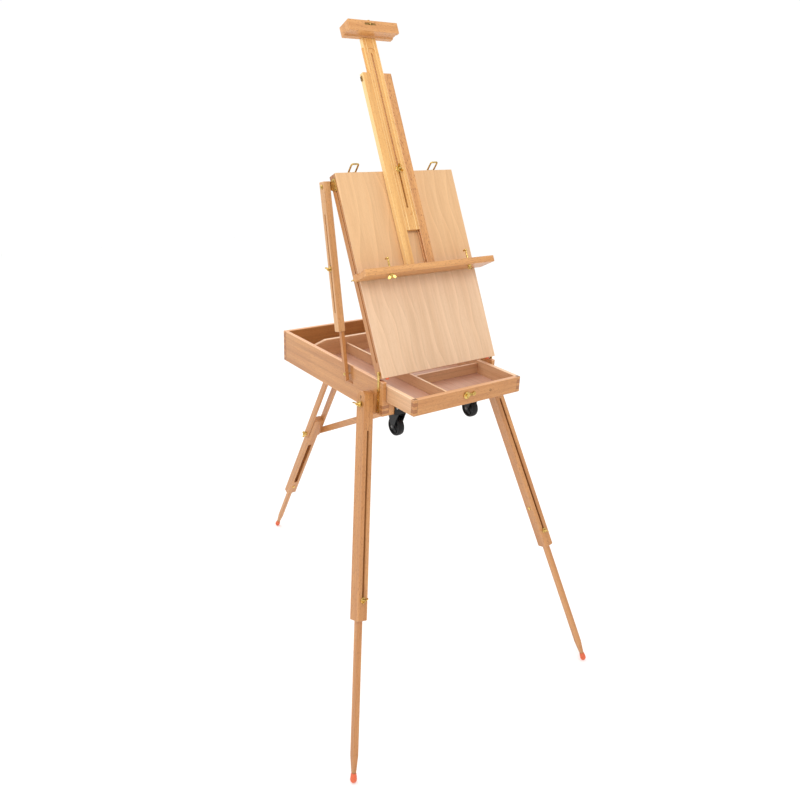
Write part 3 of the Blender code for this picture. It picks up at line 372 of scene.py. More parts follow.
# -------------------------------------------------------- wood on CAD nodes
X, Y, Z = (1, 0, 0), (0, 1, 0), (0, 0, 1)
ROT_LID = frame4((0, 0, 0), (1, 0, 0), -NF, UP)
z0 = BOX_Z0
# each edges= entry paints a highlight line along an arris
for s, t in ((-1, "left"), (1, "right")):
    ends = [dict(u=1, u0=YO - 0.001, u1=YO + 0.0115, v=2, v0=z0, v1=0.936, pitch=0.0076, phase=0),
            dict(u=1, u0=YO + BOX_L - WALL - 0.004, u1=YO + BOX_L + 0.001, v=2, v0=z0, v1=0.9955, pitch=0.0097)]
    paint("box_%s_wall" % t, wood("wood_box_%s_wall" % t, Y, "beech", 3 + s, 0.45, joints=ends, edges=[dict(u=2, at=(BOX_Z1,), w=0.0022, amt=0.75)]))
    paint("leg_wedge_%s" % t, wood("wood_wedge_%s" % t, Z, "beech", 11 + s))
    paint("drawer_%s_side" % t, wood("wood_drawer_%s_side" % t, Y, "pale", 21 + s, 0.35, edges=[dict(u=2, at=(0.984,), w=0.0018, amt=0.75)]))
    st = [dict(rot=ROT_LID, org=FB, u=2, u0=LID_L - 0.012, u1=LID_L + 0.001, v=1, v0=0.0043, v1=0.0317, pitch=0.0068)]
    paint("lid_%s_stile" % t, wood("wood_lid_%s_stile" % t, UP, "beech", 31 + s, 0.45, joints=st))
    paint("mast_%s_rail" % t, wood("wood_mast_%s_rail" % t, UP, "mast" if s > 0 else "gold", 41 + s, 0.95 if s > 0 else 0.35, edges=[dict(u=0, at=(s * 0.0223, s * 0.0475), w=0.0011)]))
    paint("strut_rod_%s" % t, wood("wood_strut_rod_%s" % t, SDIR, "warm", 51 + s))
    paint("strut_sleeve_%s" % t, wood("wood_strut_sleeve_%s" % t, SDIR, "sleeve", 61 + s))
    g = LEG[s].to_3x3().col[2]
    paint("leg_%s_outer" % t, wood("wood_leg_%s_outer" % t, g, "beech", 71 + s, 0.65))
    paint("leg_%s_inner" % t, wood("wood_leg_%s_inner" % t, g, "warm", 81 + s, 0.50))
    paint("rear_leg_bar_%s" % t, wood("wood_rear_bar_%s" % t, RD, "warm", 91 + s))
paint("box_back_wall", wood("wood_box_back", X, "beech", 5, 0.45, edges=[dict(u=2, at=(BOX_Z1,), w=0.0022, amt=0.75)], joints=[
    dict(u=0, u0=-BOX_HALF_W - 0.001, u1=-BOX_HALF_W + WALL, v=2, v0=z0, v1=0.9955, pitch=0.0097, phase=1),
    dict(u=0, u0=BOX_HALF_W - WALL, u1=BOX_HALF_W + 0.001, v=2, v0=z0, v1=0.9955, pitch=0.0097, phase=1)]))
paint("box_front_rail", wood("wood_box_rail", X, "beech", 6, 0.45))
paint("box_bottom", wood("ply_box_bottom", Y, "floor", 7, 0.2))
paint("rear_leg_block", wood("wood_rear_block", X, "warm", 8))
dz = 0.9390
for nm, m in (("drawer_front", wood("wood_drawer_front", X, "beech", 12, 0.45, joints=[
        dict(u=0, u0=-0.1855, u1=-0.1725, v=2, v0=dz, v1=0.984, pitch=0.0090),
        dict(u=0, u0=0.1725, u1=0.1855, v=2, v0=dz, v1=0.984, pitch=0.0090)], edges=[dict(u=2, at=(0.984,), w=0.0020)])),
        ("drawer_back", wood("wood_drawer_back", X, "pale", 13, 0.35, edges=[dict(u=2, at=(0.9948,), w=0.0016)])),
        ("drawer_bottom", wood("ply_drawer_bottom", Y, "floor", 14, 0.15, rough=0.42)),
        ("drawer_long_divider", wood("wood_long_divider", Y, "pale", 15, 0.3, edges=[dict(u=2, at=(0.9755,), w=0.0016, amt=0.75)])),
        ("drawer_cross_divider", wood("wood_cross_divider", X, "pale", 16, 0.3, edges=[dict(u=2, at=(0.9755,), w=0.0016, amt=0.75)])),
        ("lid_panel", wood("ply_lid_panel", UP, "ply", 17, 0.18, rough=0.38, streak=0.7, ring=0.25, flame=1.0)),
        ("lid_bottom_rail", wood("wood_lid_bottom_rail", X, "beech", 18)),
        ("lid_top_rail", wood("wood_lid_top_rail", X, "beech", 19)),
        ("canvas_ledge", wood("wood_ledge", X, "mast", 20, 0.6)),
        ("mast_slider", wood("wood_slider", UP, "gold", 22, 0.55, edges=[dict(u=0, at=(-0.0219, -0.0125, 0.0125, 0.0219), w=0.0013, amt=0.7)])),
        ("clamp_block", wood("wood_clamp", X, "mast", 23, 0.6)),
        ("rear_leg_middle", wood("wood_rear_middle", RD, "beech", 24)),
        ("rear_leg_inner", wood("wood_rear_inner", RD, "beech", 25)),
        ("rear_brace_front", wood("wood_brace_front", Y, "beech", 26)),
        ("rear_brace_rear", wood("wood_brace_rear", Y, "beech", 27))):
    paint(nm, m)
for t in ("left", "right"):
    paint("castor_bracket_" + t, BLACK)
    paint("castor_wheel_" + t, TREAD)
    paint("hinge_strap_" + t, BRASS)
    paint("lid_catch_" + t, BRASS)
    paint("leg_%s_tip" % t, RUBBER)
    for w in ("carrier_wing_", "strut_wing_", "leg_pivot_wing_", "leg_lock_wing_"):
        paint(w + t, BRASS)
paint("rear_leg_tip", RUBBER)
paint("mast_lock_bolt", BRASS)
paint("drawer_clasp", BRASS)

# ------------------------------------------------------------ mesh helpers
PIECES = bpy.data.collections.new("easel_details")
bpy.context.scene.collection.children.link(PIECES)


def finish_mesh(name, bm, mat, body, bevel=0.0, seg=2, sub=0, angle=35, stage=False):
    bmesh.ops.recalc_face_normals(bm, faces=bm.faces)
    me = bpy.data.meshes.new(name)
    bm.to_mesh(me)
    bm.free()
    me.materials.append(mat)
    ob = bpy.data.objects.new(name, me)
    PIECES.objects.link(ob)
    if bevel:
        m = ob.modifiers.new("edges", "BEVEL")
        m.width = bevel
        m.segments = seg
        m.limit_method = "ANGLE"
        m.angle_limit = radians(38)
        m.harden_normals = True
    if sub:
        m = ob.modifiers.new("smooth", "SUBSURF")
        m.levels = m.render_levels = sub
    me.shade_smooth()
    me.set_sharp_from_angle(angle=radians(angle))
    if body:
        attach(ob, body)
    return ob


def lathe(bm, prof, m=None, seg=28, close=True):
    """Turned form about local Y: prof is a list of (radius, height)."""
    m = m or Matrix.Identity(4)
    rings = []
    for r, h in prof:
        if r < 1e-7:
            rings.append([bm.verts.new(m @ Vector((0, h, 0)))])
        else:
            rings.append([bm.verts.new(m @ Vector((r * cos(2 * pi * i / seg), h, r * sin(2 * pi * i / seg)))) for i in range(seg)])
    for a, b in zip(rings, rings[1:]):
        for i in range(seg):
            j = (i + 1) % seg
            if len(a) == 1 and len(b) == 1:
                continue
            if len(a) == 1:
                bm.faces.new((a[0], b[j], b[i]))
            elif len(b) == 1:
                bm.faces.new((a[i], a[j], b[0]))
            else:
                bm.faces.new((a[i], a[j], b[j], b[i]))
    if close:
        for ring in (rings[0], rings[-1]):
            if len(ring) > 2:
                bm.faces.new(ring)
    return rings


def outline(bm, pts, thick, m=None):
    """Plate with outline pts (x, y) in local XY, centred on local Z."""
    m = m or Matrix.Identity(4)
    lo = [bm.verts.new(m @ Vector((x, y, -thick / 2))) for x, y in pts]
    hi = [bm.verts.new(m @ Vector((x, y, thick / 2))) for x, y in pts]
    bm.faces.new(lo)
    bm.faces.new(hi)
    n = len(pts)
    for i in range(n):
        j = (i + 1) % n
        bm.faces.new((lo[i], lo[j], hi[j], hi[i]))


def arc(cx, cy, r, a0, a1, n):
    return [(cx + r * cos(radians(a0 + (a1 - a0) * i / n)), cy + r * sin(radians(a0 + (a1 - a0) * i / n))) for i in range(n + 1)]


def wing_bolt(name, m, base, body, replaces=None, hub=0.0052, span=0.0108, height=0.0128, shank=(0.0, 0.0), r=0.0022, washer=0.0, mat=None):
    """Cast wing nut on its stud: washer, flared hub, two rounded ears and the stud's thread. Local +Y points out."""
    mat = mat or BRASS
    bm = bmesh.new()
    b = base
    if washer:
        lathe(bm, [(0, b), (washer, b), (washer, b + 0.0009), (washer - 0.0003, b + 0.0011), (0, b + 0.0011)], m, 26, close=False)
        b += 0.0011
    prof = [(0, b), (hub, b), (hub * 1.02, b + 0.0012), (hub * 0.86, b + 0.0022), (hub * 0.72, b + 0.0050), (hub * 0.70, b + 0.0066), (hub * 0.60, b + 0.0072), (r, b + 0.0072)]
    top = b + min(0.0098, height - 0.0025)
    z = b + 0.0072
    while z < top:
        prof += [(r * 1.0, z + 0.0002), (r * 0.84, z + 0.0005)]
        z += 0.0007
    prof += [(r * 0.7, z + 0.0003), (0, z + 0.0003)]
    lathe(bm, prof, m, 24, close=False)
    ow = finish_mesh(name, bm, mat, body, angle=50)
    if replaces:
        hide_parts(replaces)
    bm = bmesh.new()
    for sx in (1, -1):
        re = min(0.0042, span * 0.36)
        cx, cy = span - re, b + height - re - 0.0006
        pts = [(hub * 0.35, b + 0.0012), (hub * 1.05, b + 0.0013)]
        pts += arc(cx, cy, re, -52, 128, 12)
        pts += [(cx - re * 1.25, cy - re * 0.15), (hub * 0.62, b + 0.0060), (hub * 0.30, b + 0.0060)]
        pts = [(sx * x, y) for x, y in pts]
        outline(bm, pts, 0.0021, m)
    oe = finish_mesh(name + "_ears", bm, mat, body, bevel=0.0006, seg=3, angle=40)
    if shank[1] > shank[0]:
        bm = bmesh.new()
        prof = [(0, shank[0])]
        z = shank[0]
        while z < shank[1]:
            prof += [(r, z + 0.0002), (r * 0.88, z + 0.0005)]
            z += 0.0008
        prof += [(0, shank[1])]
        lathe(bm, prof, m, 16, close=False)
        finish_mesh(name + "_stud", bm, mat, body, angle=50)
    return ow


def screw(name, p, axis, body, r=0.0030, proud=0.0003, mat=None, turn=0.0):
    """Countersunk cross-slot screw head, its face just proud of the surface at p."""
    a = Vector(axis).normalized()
    q = a.to_track_quat("Y", "Z").to_matrix().to_4x4()
    m = Matrix.Translation(p) @ q @ Matrix.Rotation(turn, 4, "Y")
    bm = bmesh.new()
    lathe(bm, [(0, -0.0004), (r * 0.9, -0.0004), (r, proud - 0.0001), (r * 0.93, proud + 0.0001), (0, proud + 0.00035)], m, 22, close=False)
    ob = finish_mesh(name, bm, mat or BRASS, body)
    # cross slot: two thin dark boxes on the head's face, painted shade for the slot
    bm = bmesh.new()
    for t in (0, pi / 2):
        mm = m @ Matrix.Rotation(t, 4, "Y")
        res = bmesh.ops.create_cube(bm, size=1.0, matrix=mm @ Matrix.Translation((0, proud + 0.00020, 0)) @ Matrix.Diagonal((r * 1.25, 0.0004, r * 0.24, 1)))
    slot_shade = finish_mesh(name + "_slot", bm, HOLE_SHADE, body)
    return ob


# ------------------------------------------------------------- wing bolts
for s, t in ((-1, "left"), (1, "right")):
    # canvas carrier, one wing at each side of the lid
    m = LID @ side(s) @ frame4((0, -0.0135, 0.2700), (0, 1, 0), (1, 0, 0), (0, 0, 1))
    wing_bolt("carrier_wing_nut_" + t, m, BOX_HALF_W + 0.0030, "carrier_wing_" + t, "carrier_wing_" + t, hub=0.0048, span=0.0095, height=0.0120, shank=(BOX_HALF_W - 0.004, BOX_HALF_W + 0.004), r=0.0020, washer=0.0062)
    # strut: the wing stands on the sleeve's slotted face
    m = STRUT[s] @ frame4((0, 0, 0.2919), (0, 0, 1), (1, 0, 0), (0, 1, 0)) @ Matrix.Rotation(radians(62), 4, "Y")
    wing_bolt("strut_wing_nut_" + t, m, 0.2203, "strut_wing_" + t, "strut_wing_" + t, hub=0.0050, span=0.0108, height=0.0125, shank=(0.2106, 0.2210), r=0.0021, washer=0.0072)
    # leg pivot
    m = LEG[s] @ frame4((0, 0, 0), (0, 1, 0), (1, 0, 0), (0, 0, 1)) @ Matrix.Rotation(radians(-20 * s), 4, "Y")
    wing_bolt("leg_pivot_wing_nut_" + t, m, 0.0196, "leg_pivot_wing_" + t, "leg_pivot_wing_" + t, hub=0.0062, span=0.0135, height=0.0150, shank=(-0.0218, 0.0205), r=0.0029, washer=0.0085)
    bm = bmesh.new()                                # washer on the leg's outer face
    lathe(bm, [(0, 0.0152), (0.0082, 0.0152), (0.0082, 0.0162), (0.0079, 0.0164), (0, 0.0164)], m, 26, close=False)
    finish_mesh("leg_pivot_washer_" + t, bm, BRASS_DULL, "leg_pivot_wing_" + t)
    # leg lock, standing in the slot of the outer leg
    m = LEG[s] @ frame4((0, 0, -0.5195), (1, 0, 0), (0, 1, 0), (0, 0, 1)) @ Matrix.Rotation(radians(35), 4, "Y")
    wing_bolt("leg_lock_wing_nut_" + t, m, 0.0188, "leg_lock_wing_" + t, "leg_lock_wing_" + t, hub=0.0052, span=0.0110, height=0.0128, shank=(0.0083, 0.0195), r=0.0021, washer=0.0078)
m = LID @ Matrix.Translation((0, 0, 0.557)) @ Matrix.Rotation(radians(70), 4, "Y")
wing_bolt("mast_lock_wing_nut", m, 0.0137, "mast_lock", "mast_lock_bolt", hub=0.0062, span=0.0122, height=0.0152, shank=(0.0008, 0.0145), r=0.0024, washer=0.0088)

# ------------------------------------------------- strut tops and foot screws
for s, t in ((-1, "left"), (1, "right")):
    # brass plate on the lid's side that carries the strut's top bolt
    m = LID @ side(s)
    bm = bmesh.new()
    x = BOX_HALF_W + 0.0009
    pts = [(-0.0075, 0.5100), (-0.0075, 0.5450)] + [(-0.0260, 0.5450)] + arc(-0.0435, 0.534, 0.0085, 95, 265, 10) + [(-0.0260, 0.5150)]
    mm = m @ frame4((x, 0, 0), (0, 1, 0), (0, 0, 1), (1, 0, 0))
    outline(bm, pts, 0.0012, mm)
    finish_mesh("strut_plate_" + t, bm, BRASS_DULL, "lid", bevel=0.0003, seg=2)
    for i, (n, sv) in enumerate(((-0.0125, 0.5160), (-0.0125, 0.5390))):
        screw("strut_plate_screw_%s_%d" % (t, i), m @ Vector((x + 0.0006, n, sv)), s * Vector((1, 0, 0)), "lid", 0.0026, turn=0.4 + i)
    # top bolt through the sleeve's solid head
    bm = bmesh.new()
    mb = STRUT[s] @ frame4((0, 0, SLEN), (0, 0, 1), (1, 0, 0), (0, 1, 0))
    lathe(bm, [(0, 0.1990), (0.0030, 0.1990), (0.0030, 0.2201), (0.0062, 0.2201), (0.0062, 0.2212), (0.0046, 0.2226), (0.0020, 0.2234), (0, 0.2236)], mb, 24, close=False)
    finish_mesh("strut_top_bolt_" + t, bm, BRASS, "lid")
    # foot screw: a long brass screw through the rod into the box wall
    bm = bmesh.new()
    mb = STRUT[s] @ frame4((0, 0, 0), (0, 0, 1), (1, 0, 0), (0, 1, 0))
    lathe(bm, [(0, 0.1925), (0.0018, 0.1925), (0.0018, 0.2098), (0.0042, 0.2102), (0.0046, 0.2106), (0.0036, 0.2114), (0, 0.2117)], mb, 22, close=False)
    finish_mesh("strut_foot_screw_" + t, bm, BRASS, "box")
    # hinge strap: three screws
    for i, z in enumerate((0.9690, 0.9400, 0.9120)):
        screw("hinge_screw_%s_%d" % (t, i), Vector((s * (BOX_HALF_W + 0.0021), PIN.y, z)), (s, 0, 0), "box", 0.0032, proud=0.0008, turn=0.6 * i)
    # pivot pin head
    bm = bmesh.new()
    mb = frame4(Vector((s * (BOX_HALF_W + 0.0021), PIN.y, PIN.z)), (0, 0, 1), (s, 0, 0), (0, 1, 0))
    lathe(bm, [(0, 0), (0.0044, 0), (0.0042, 0.0012), (0.0028, 0.0021), (0, 0.0024)], mb, 24, close=False)
    finish_mesh("hinge_pin_head_" + t, bm, BRASS, "box")
    bm = bmesh.new()                                # blind hole above the leg's pivot wing: a dark disc on the face, painted shade
    lathe(bm, [(0.0040, 0.0148), (0.0036, 0.01518), (0.0031, 0.01505), (0, 0.0149)], LEG[s] @ frame4((0, 0, 0.0190), (0, 1, 0), (1, 0, 0), (0, 0, 1)), 24, close=False)
    finish_mesh("leg_head_hole_" + t, bm, HOLE_SHADE, "leg_" + t)
    # bolt head on the inner face of the outer leg, near its lower end
    mb = LEG[s] @ frame4((0, 0, -0.4390), (0, 0, 1), (-1, 0, 0), (0, 1, 0))
    bm = bmesh.new()
    lathe(bm, [(0, 0.0150), (0.0058, 0.0151), (0.0056, 0.0160), (0.0030, 0.0164), (0, 0.0166)], mb, 24, close=False)
    finish_mesh("leg_side_washer_" + t, bm, BRASS, "leg_" + t)

# ------------------------------------------------------- castors and bumpers
for s, t in ((-1, "left"), (1, "right")):
    c = V(s * 0.133, 0.022, 0.852)
    m = frame4(c, (0, 0, 1), (s, 0, 0), (0, 1, 0))
    # wheel: crowned tread, recessed disc and raised hub
    half = []
    for r, h in ((0.0034, 0.0096), (0.0074, 0.0096), (0.0080, 0.0090), (0.0084, 0.0066), (0.0096, 0.0058), (0.0196, 0.0058), (0.0206, 0.0068), (0.0212, 0.0088), (0.0224, 0.0095), (0.0248, 0.0094), (0.0268, 0.0080), (0.0277, 0.0050), (0.0280, 0.0015)):
        half.append((r, h))
    prof = [(r, -h) for r, h in half] + list(reversed(half))
    bm = bmesh.new()
    rings = lathe(bm, prof, m, 48, close=False)
    for i in range(48):
        j = (i + 1) % 48
        bm.faces.new((rings[-1][i], rings[-1][j], rings[0][j], rings[0][i]))
    w = finish_mesh("castor_tyre_" + t, bm, TREAD, "castor_" + t, angle=42)
    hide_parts("castor_wheel_" + t)
    for sg in (1, -1):                              # moulded webs of the wheel's disc
        bm = bmesh.new()
        for i in range(5):
            mm = m @ Matrix.Rotation(2 * pi * i / 5, 4, "Y") @ Matrix.Translation((0.0142, sg * 0.0066, 0))
            bmesh.ops.create_cube(bm, size=1.0, matrix=mm @ Matrix.Diagonal((0.0110, 0.0022, 0.0022, 1)))
        finish_mesh("castor_web_%s_%s" % (t, "o" if sg > 0 else "i"), bm, TREAD, "castor_" + t, bevel=0.0005)
        # axle heads: a real part; their lighter grey is a painted highlight on the hub
        bm = bmesh.new()
        lathe(bm, [(0, sg * 0.0154), (0.0030, sg * 0.0154), (0.0040, sg * 0.0150), (0.0044, sg * 0.0138), (0, sg * 0.0138)], m, 20, close=False)
        finish_mesh("castor_axle_head_%s_%s" % (t, "o" if sg > 0 else "i"), bm, HUB_HIGHLIGHT, "box")
    for i, dx in enumerate((-0.0165, 0.0165)):
        screw("castor_screw_%s_%d" % (t, i), V(s * 0.133 + dx, -0.0033, 0.9150), (0, -1, 0), "box", 0.0028, mat=STEEL, turn=0.5 + i)
    # rubber buffers between the lid's bottom edge and the rim
    bm = bmesh.new()
    bx = -0.180 if s < 0 else 0.170
    mb = LID @ frame4((bx, -0.0060, 0.0), (1, 0, 0), (0, 0, -1), (0, 1, 0))
    lathe(bm, [(0, -0.0004), (0.0046, -0.0004), (0.0052, 0.0006), (0.0050, 0.0028), (0.0038, 0.0042), (0, 0.0046)], mb, 24, close=False)
    finish_mesh("lid_buffer_" + t, bm, RUBBER, "lid")

# --------------------------------------------------------------- lid catches
def wire_loop(bm, pts, r, m, seg=12):
    """Closed round wire through pts (x, z), bent in the local XZ plane."""
    n = len(pts)
    rings = []
    for i in range(n):
        a, b, c = Vector(pts[i - 1]), Vector(pts[i]), Vector(pts[(i + 1) % n])
        d = ((b - a).normalized() + (c - b).normalized()).normalized()
        nx, nz = -d.y, d.x
        rings.append([bm.verts.new(m @ Vector((b.x + r * cos(2 * pi * q / seg) * nx, r * sin(2 * pi * q / seg), b.y + r * cos(2 * pi * q / seg) * nz))) for q in range(seg)])
    for i in range(n):
        a, b = rings[i], rings[(i + 1) % n]
        for q in range(seg):
            w = (q + 1) % seg
            bm.faces.new((a[q], a[w], b[w], b[q]))


for s, t in ((-1, "left"), (1, "right")):
    pts = []
    hw, hl, rr = 0.0110, 0.0310, 0.0042
    for ax, az, t0 in ((hw - rr, rr, -90), (hw - rr, hl - rr, 0), (-hw + rr, hl - rr, 90), (-hw + rr, rr, 180)):
        pts += [(ax + rr * cos(radians(t0 + 15 * i)), az + rr * sin(radians(t0 + 15 * i))) for i in range(7)]
    bm = bmesh.new()
    wire_loop(bm, pts, 0.0024, Matrix.Translation(lidp(s * 0.1335, -0.0190, LID_L + 0.0045)) @ Matrix.Rotation(-BETA, 4, "X") @ Matrix.Rotation(radians(62.0), 4, "X"))
    lo = finish_mesh("catch_wire_" + t, bm, BRASS_DULL, "lid_catch_" + t, angle=60)
    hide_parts("lid_catch_" + t)
    for e in (-1, 1):
        # staple that holds the wire loop's foot
        bm = bmesh.new()
        m = LID @ Matrix.Translation((s * 0.1335 + e * 0.0046, -0.0190, LID_L))
        outline(bm, [(-0.0028, 0.0001), (0.0028, 0.0001), (0.0028, 0.0018), (0.0024, 0.0068), (-0.0024, 0.0068), (-0.0028, 0.0018)], 0.0056, m @ frame4((0, 0, 0), (1, 0, 0), (0, 0, 1), (0, -1, 0)))
        finish_mesh("catch_staple_%s_%s" % (t, "o" if e > 0 else "i"), bm, BRASS_DULL, "lid", bevel=0.0007, seg=3)

# ------------------------------------------------------ ledge bolts and hooks
for s, t in ((-1, "left"), (1, "right")):
    m = LID @ Matrix.Translation((s * 0.1330, 0.0545, 0))
    bm = bmesh.new()                                # hook rod standing up through the ledge
    mm = m @ frame4((0, 0, 0), (1, 0, 0), (0, 0, 1), (0, -1, 0))
    prof = [(0, 0.2530), (0.0024, 0.2530), (0.0024, 0.2788), (0.0058, 0.2788), (0.0058, 0.2798), (0.0024, 0.2804), (0.0024, 0.3020), (0.0034, 0.3028), (0.0038, 0.3048), (0.0030, 0.3066), (0, 0.3072)]
    lathe(bm, prof, mm, 22, close=False)
    finish_mesh("ledge_hook_rod_" + t, bm, BRASS, "carrier")
    bm = bmesh.new()                                # its nose, turned back over the canvas
    lathe(bm, [(0, 0), (0.0021, 0.0), (0.0021, 0.0105), (0.0014, 0.0112), (0, 0.0113)], m @ frame4((0, 0.0005, 0.3046), (1, 0, 0), (0, -1, 0), (0, 0, 1)), 18, close=False)
    finish_mesh("ledge_hook_nose_" + t, bm, BRASS, "carrier")
    mw = m @ frame4((0, 0, 0), (1, 0, 0), (0, 0, -1), (0, 1, 0)) @ Matrix.Rotation(radians(25 * s), 4, "Y")
    wing_bolt("ledge_wing_nut_" + t, mw, -0.2609, "carrier", None, hub=0.0052, span=0.0115, height=0.0122, r=0.0024, washer=0.0070)

# ---------------------------------------------------------- mast and clamp
bm = bmesh.new()                                    # dark plate at the bottom of the clamp's front recess
outline(bm, [(-0.0276, 0.9443), (0.0076, 0.9443), (0.0076, 0.9502), (-0.0276, 0.9502)], 0.0006, LID @ frame4((0, 0.0496, 0), (1, 0, 0), (0, 0, 1), (0, -1, 0)))
finish_mesh("clamp_slot_plate", bm, DARK_BRASS, "slider")
bm = bmesh.new()                                    # its spring peg
lathe(bm, [(0, 0.0495), (0.0026, 0.0495), (0.0026, 0.0524), (0.0020, 0.0532), (0, 0.0534)], LID @ frame4((-0.0110, 0, 0.9472), (1, 0, 0), (0, 1, 0), (0, 0, 1)), 20, close=False)
finish_mesh("clamp_peg", bm, BRASS, "slider")
bm = bmesh.new()                                    # hasp on the outer edge of the mast's left rail
outline(bm, [(-0.0006, 0.8060), (-0.0032, 0.8080), (-0.0032, 0.8190), (-0.0006, 0.8215)], 0.0060, LID @ frame4((-0.0475, 0.0075, 0), (1, 0, 0), (0, 0, 1), (0, -1, 0)))
finish_mesh("mast_cleat", bm, DARK_BRASS, "carrier", bevel=0.0005)
bm = bmesh.new()                                    # small knob on the clamp's top
m = LID @ frame4((-0.0110, 0.0450, 0.9563), (1, 0, 0), (0, 0, 1), (0, -1, 0))
lathe(bm, [(0, 0), (0.0056, 0), (0.0056, 0.0006), (0.0036, 0.0009), (0.0036, 0.0014), (0.0048, 0.0020), (0.0048, 0.0030), (0.0034, 0.0036), (0, 0.0037)], m, 24, close=False)
finish_mesh("clamp_knob", bm, BRASS_DULL, "slider")

# ------------------------------------------------------------------ rear leg
for s, t in ((-1, "left"), (1, "right")):
    bm = bmesh.new()                                # clamp bolt through the bar, one each side
    m = REAR @ frame4((0, 0, -0.378), (0, 0, 1), (s, 0, 0), (0, 1, 0))
    if s > 0:
        lathe(bm, [(0, 0.0180), (0.0030, 0.0180), (0.0030, 0.0379), (0.0048, 0.0379), (0.0050, 0.03848), (0.0046, 0.03856), (0, 0.03856)], m, 24, close=False)
        finish_mesh("rear_bolt_right", bm, BRASS, "rear_leg")
    else:
        lathe(bm, [(0, 0.0180), (0.0030, 0.0180), (0.0030, 0.0300), (0, 0.0300)], m, 24, close=False)
        finish_mesh("rear_bolt_left", bm, BRASS, "rear_leg")
        wing_bolt("rear_wing_nut", m @ Matrix.Rotation(radians(30), 4, "Y"), 0.0284, "rear_leg", None, hub=0.0058, span=0.0120, height=0.0132, r=0.0028, washer=0.0085)
    bm = bmesh.new()                                # peened ends of the hinge pin
    m = REAR @ frame4((0, 0, 0), (0, 0, 1), (s, 0, 0), (0, 1, 0))
    lathe(bm, [(0, 0.0283), (0.0062, 0.0284), (0.0062, 0.0296), (0.0036, 0.0314), (0, 0.0318)], m, 24, close=False)
    finish_mesh("rear_hinge_cap_" + t, bm, BRASS, "rear_leg")
bm = bmesh.new()                                    # lock bolt of the inner section
m = REAR @ frame4((0, 0, -0.7080), (0, 0, 1), (0, 1, 0), (1, 0, 0))
lathe(bm, [(0, 0.0119), (0.0060, 0.0121), (0.0060, 0.0130), (0.0040, 0.0144), (0, 0.0148)], m, 24, close=False)
finish_mesh("rear_lock_bolt", bm, BRASS, "rear_middle")
bm = bmesh.new()                                    # brace pivots
for nm, p, x0, x1, b in (("brace_front_pin", V(0, 0.100, 0.868), 0.0360, 0.0500, "box"),):
    m = frame4(p, (0, 0, 1), (1, 0, 0), (0, 1, 0))
    lathe(bm, [(0, x0), (0.0026, x0), (0.0026, x1 - 0.0014), (0.0052, x1 - 0.0014), (0.0040, x1), (0, x1 + 0.0003)], m, 22, close=False)
    finish_mesh(nm, bm, BRASS, b)
# small bracket that hangs the brace's front pin under the box
bm = bmesh.new()
m = frame4(V(0.0370, 0.100, 0), (0, 1, 0), (0, 0, 1), (1, 0, 0))
outline(bm, [(-0.011, 0.8982), (-0.009, 0.868)] + arc(0, 0.868, 0.009, 180, 360, 8) + [(0.009, 0.868), (0.011, 0.8982)], 0.0020, m)
finish_mesh("brace_lug", bm, BRASS_DULL, "box", bevel=0.0003)

# ---------------------------------------------------------------- leg tips
for nm, fr, reach, b, rep in (("leg_shoe_left", LEG[-1], LEG_REACH, "shin_left", "leg_left_tip"), ("leg_shoe_right", LEG[1], LEG_REACH, "shin_right", "leg_right_tip"), ("rear_shoe", REAR, REAR_REACH, "rear_shin", "rear_leg_tip")):
    m = fr @ frame4((0, 0, -reach), (0, 1, 0), (0, 0, 1), (1, 0, 0))
    prof = [(0, -0.0090)] + [(0.0090 * sin(radians(a)), -0.0090 * cos(radians(a))) for a in (15, 30, 45, 60, 75, 90)]
    prof += [(0.0089, 0.0030), (0.0082, 0.0034), (0.0082, 0.0044), (0.0087, 0.0048), (0.0084, 0.0085), (0.0075, 0.0089), (0.0075, 0.0099), (0.0079, 0.0103), (0.0074, 0.0150), (0.0066, 0.0157), (0, 0.0157)]
    bm = bmesh.new()
    lathe(bm, prof, m, 32, close=False)
    o = finish_mesh(nm, bm, RUBBER, b, angle=32)
    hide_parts(rep)

# ------------------------------------------------------------------ drawer
bm = bmesh.new()                                    # peg hole right of the clasp: a shallow dark dish, painted shade in the hole
m = frame4(V(0.0750, -0.1210, 0.9640), (0, 0, 1), (0, -1, 0), (1, 0, 0))
lathe(bm, [(0, -0.0020), (0.0022, 0.0001), (0.0030, 0.0002), (0.0034, 0.0001), (0.0034, -0.0004)], m, 20, close=False)
finish_mesh("drawer_peg_hole", bm, HOLE_SHADE, "drawer")
screw("clasp_screw", V(-0.0105, -0.1275, 0.9655), (0, -1, 0), "drawer_clasp", 0.0022, proud=0.0)

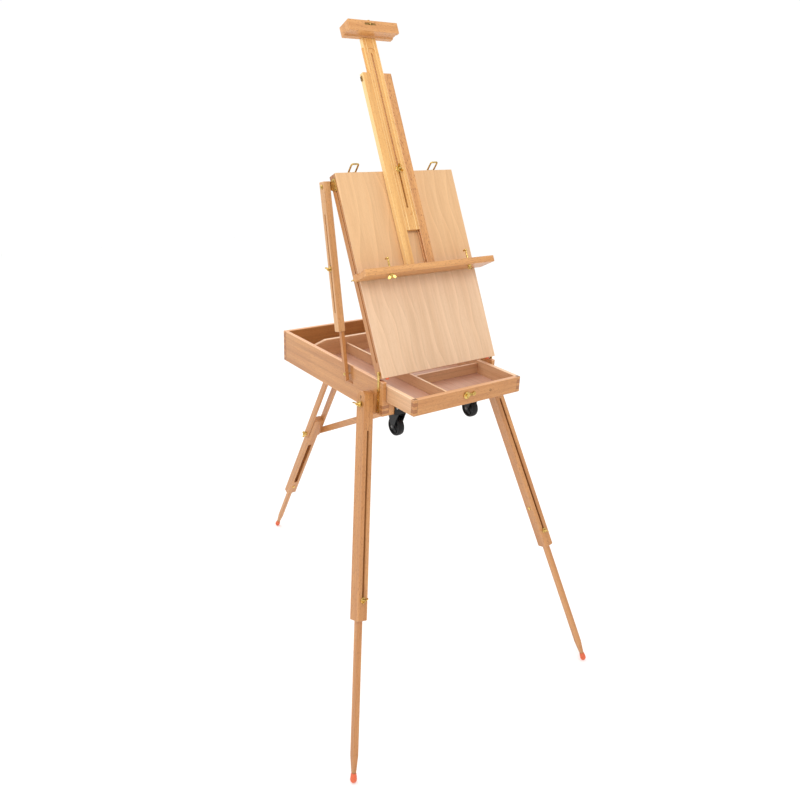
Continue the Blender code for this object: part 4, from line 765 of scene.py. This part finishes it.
# ---------------------------------------------------------- floor and light
bpy.ops.mesh.primitive_plane_add(size=14.0, location=(0, 0, 0))
floor = bpy.context.object
floor.name = "floor"
k = Nodes("floor_pale")
k.b.inputs["Base Color"].default_value = (0.985, 0.985, 0.982, 1)
k.b.inputs["Roughness"].default_value = 0.85
k.b.inputs["Specular IOR Level"].default_value = 0.2
floor.data.materials.append(k.m)

world = bpy.data.worlds.new("studio")
bpy.context.scene.world = world
world.use_nodes = True
world.node_tree.nodes["Background"].inputs["Color"].default_value = (1.0, 0.998, 0.994, 1)
world.node_tree.nodes["Background"].inputs["Strength"].default_value = 1.02


def area(name, loc, aim, size, power, color=(1, 1, 1)):
    l = bpy.data.lights.new(name, "AREA")
    l.shape = "DISK"
    l.size = size
    l.energy = power
    l.color = color
    o = bpy.data.objects.new(name, l)
    bpy.context.scene.collection.objects.link(o)
    o.location = loc
    o.rotation_mode = "QUATERNION"
    o.rotation_quaternion = (Vector(aim) - Vector(loc)).to_track_quat("-Z", "Y")
    return o


area("key", (-1.4, -2.6, 3.6), (0, 0, 1.1), 1.4, 34, (1.0, 0.985, 0.96))
area("fill_left", (-3.4, 0.4, 2.4), (0, 0, 0.9), 2.0, 6)
area("back_top", (-0.8, 2.8, 3.6), (0, 0.1, 1.0), 2.4, 36)

yaw, pit, rol = radians(-36.4085), radians(21.3023), radians(2.2159)
fwd = Vector((-sin(yaw) * cos(pit), cos(yaw) * cos(pit), -sin(pit)))
rgt = Vector((cos(yaw), sin(yaw), 0))
upv = rgt.cross(fwd)
r = rgt * cos(rol) + upv * sin(rol)
u = -rgt * sin(rol) + upv * cos(rol)
cam = bpy.data.cameras.new("camera")
cam.sensor_width = 36.0
cam.lens = 788.3125 / 800 * 36.0
cam.clip_start, cam.clip_end = 0.05, 60
co = bpy.data.objects.new("camera", cam)
bpy.context.scene.collection.objects.link(co)
co.matrix_world = frame4((-1.3142, -1.5926 + YO, 1.7078), r, u, -fwd)
bpy.context.scene.camera = co
bpy.context.scene.view_settings.view_transform = "Standard"

bpy.context.view_layer.update()
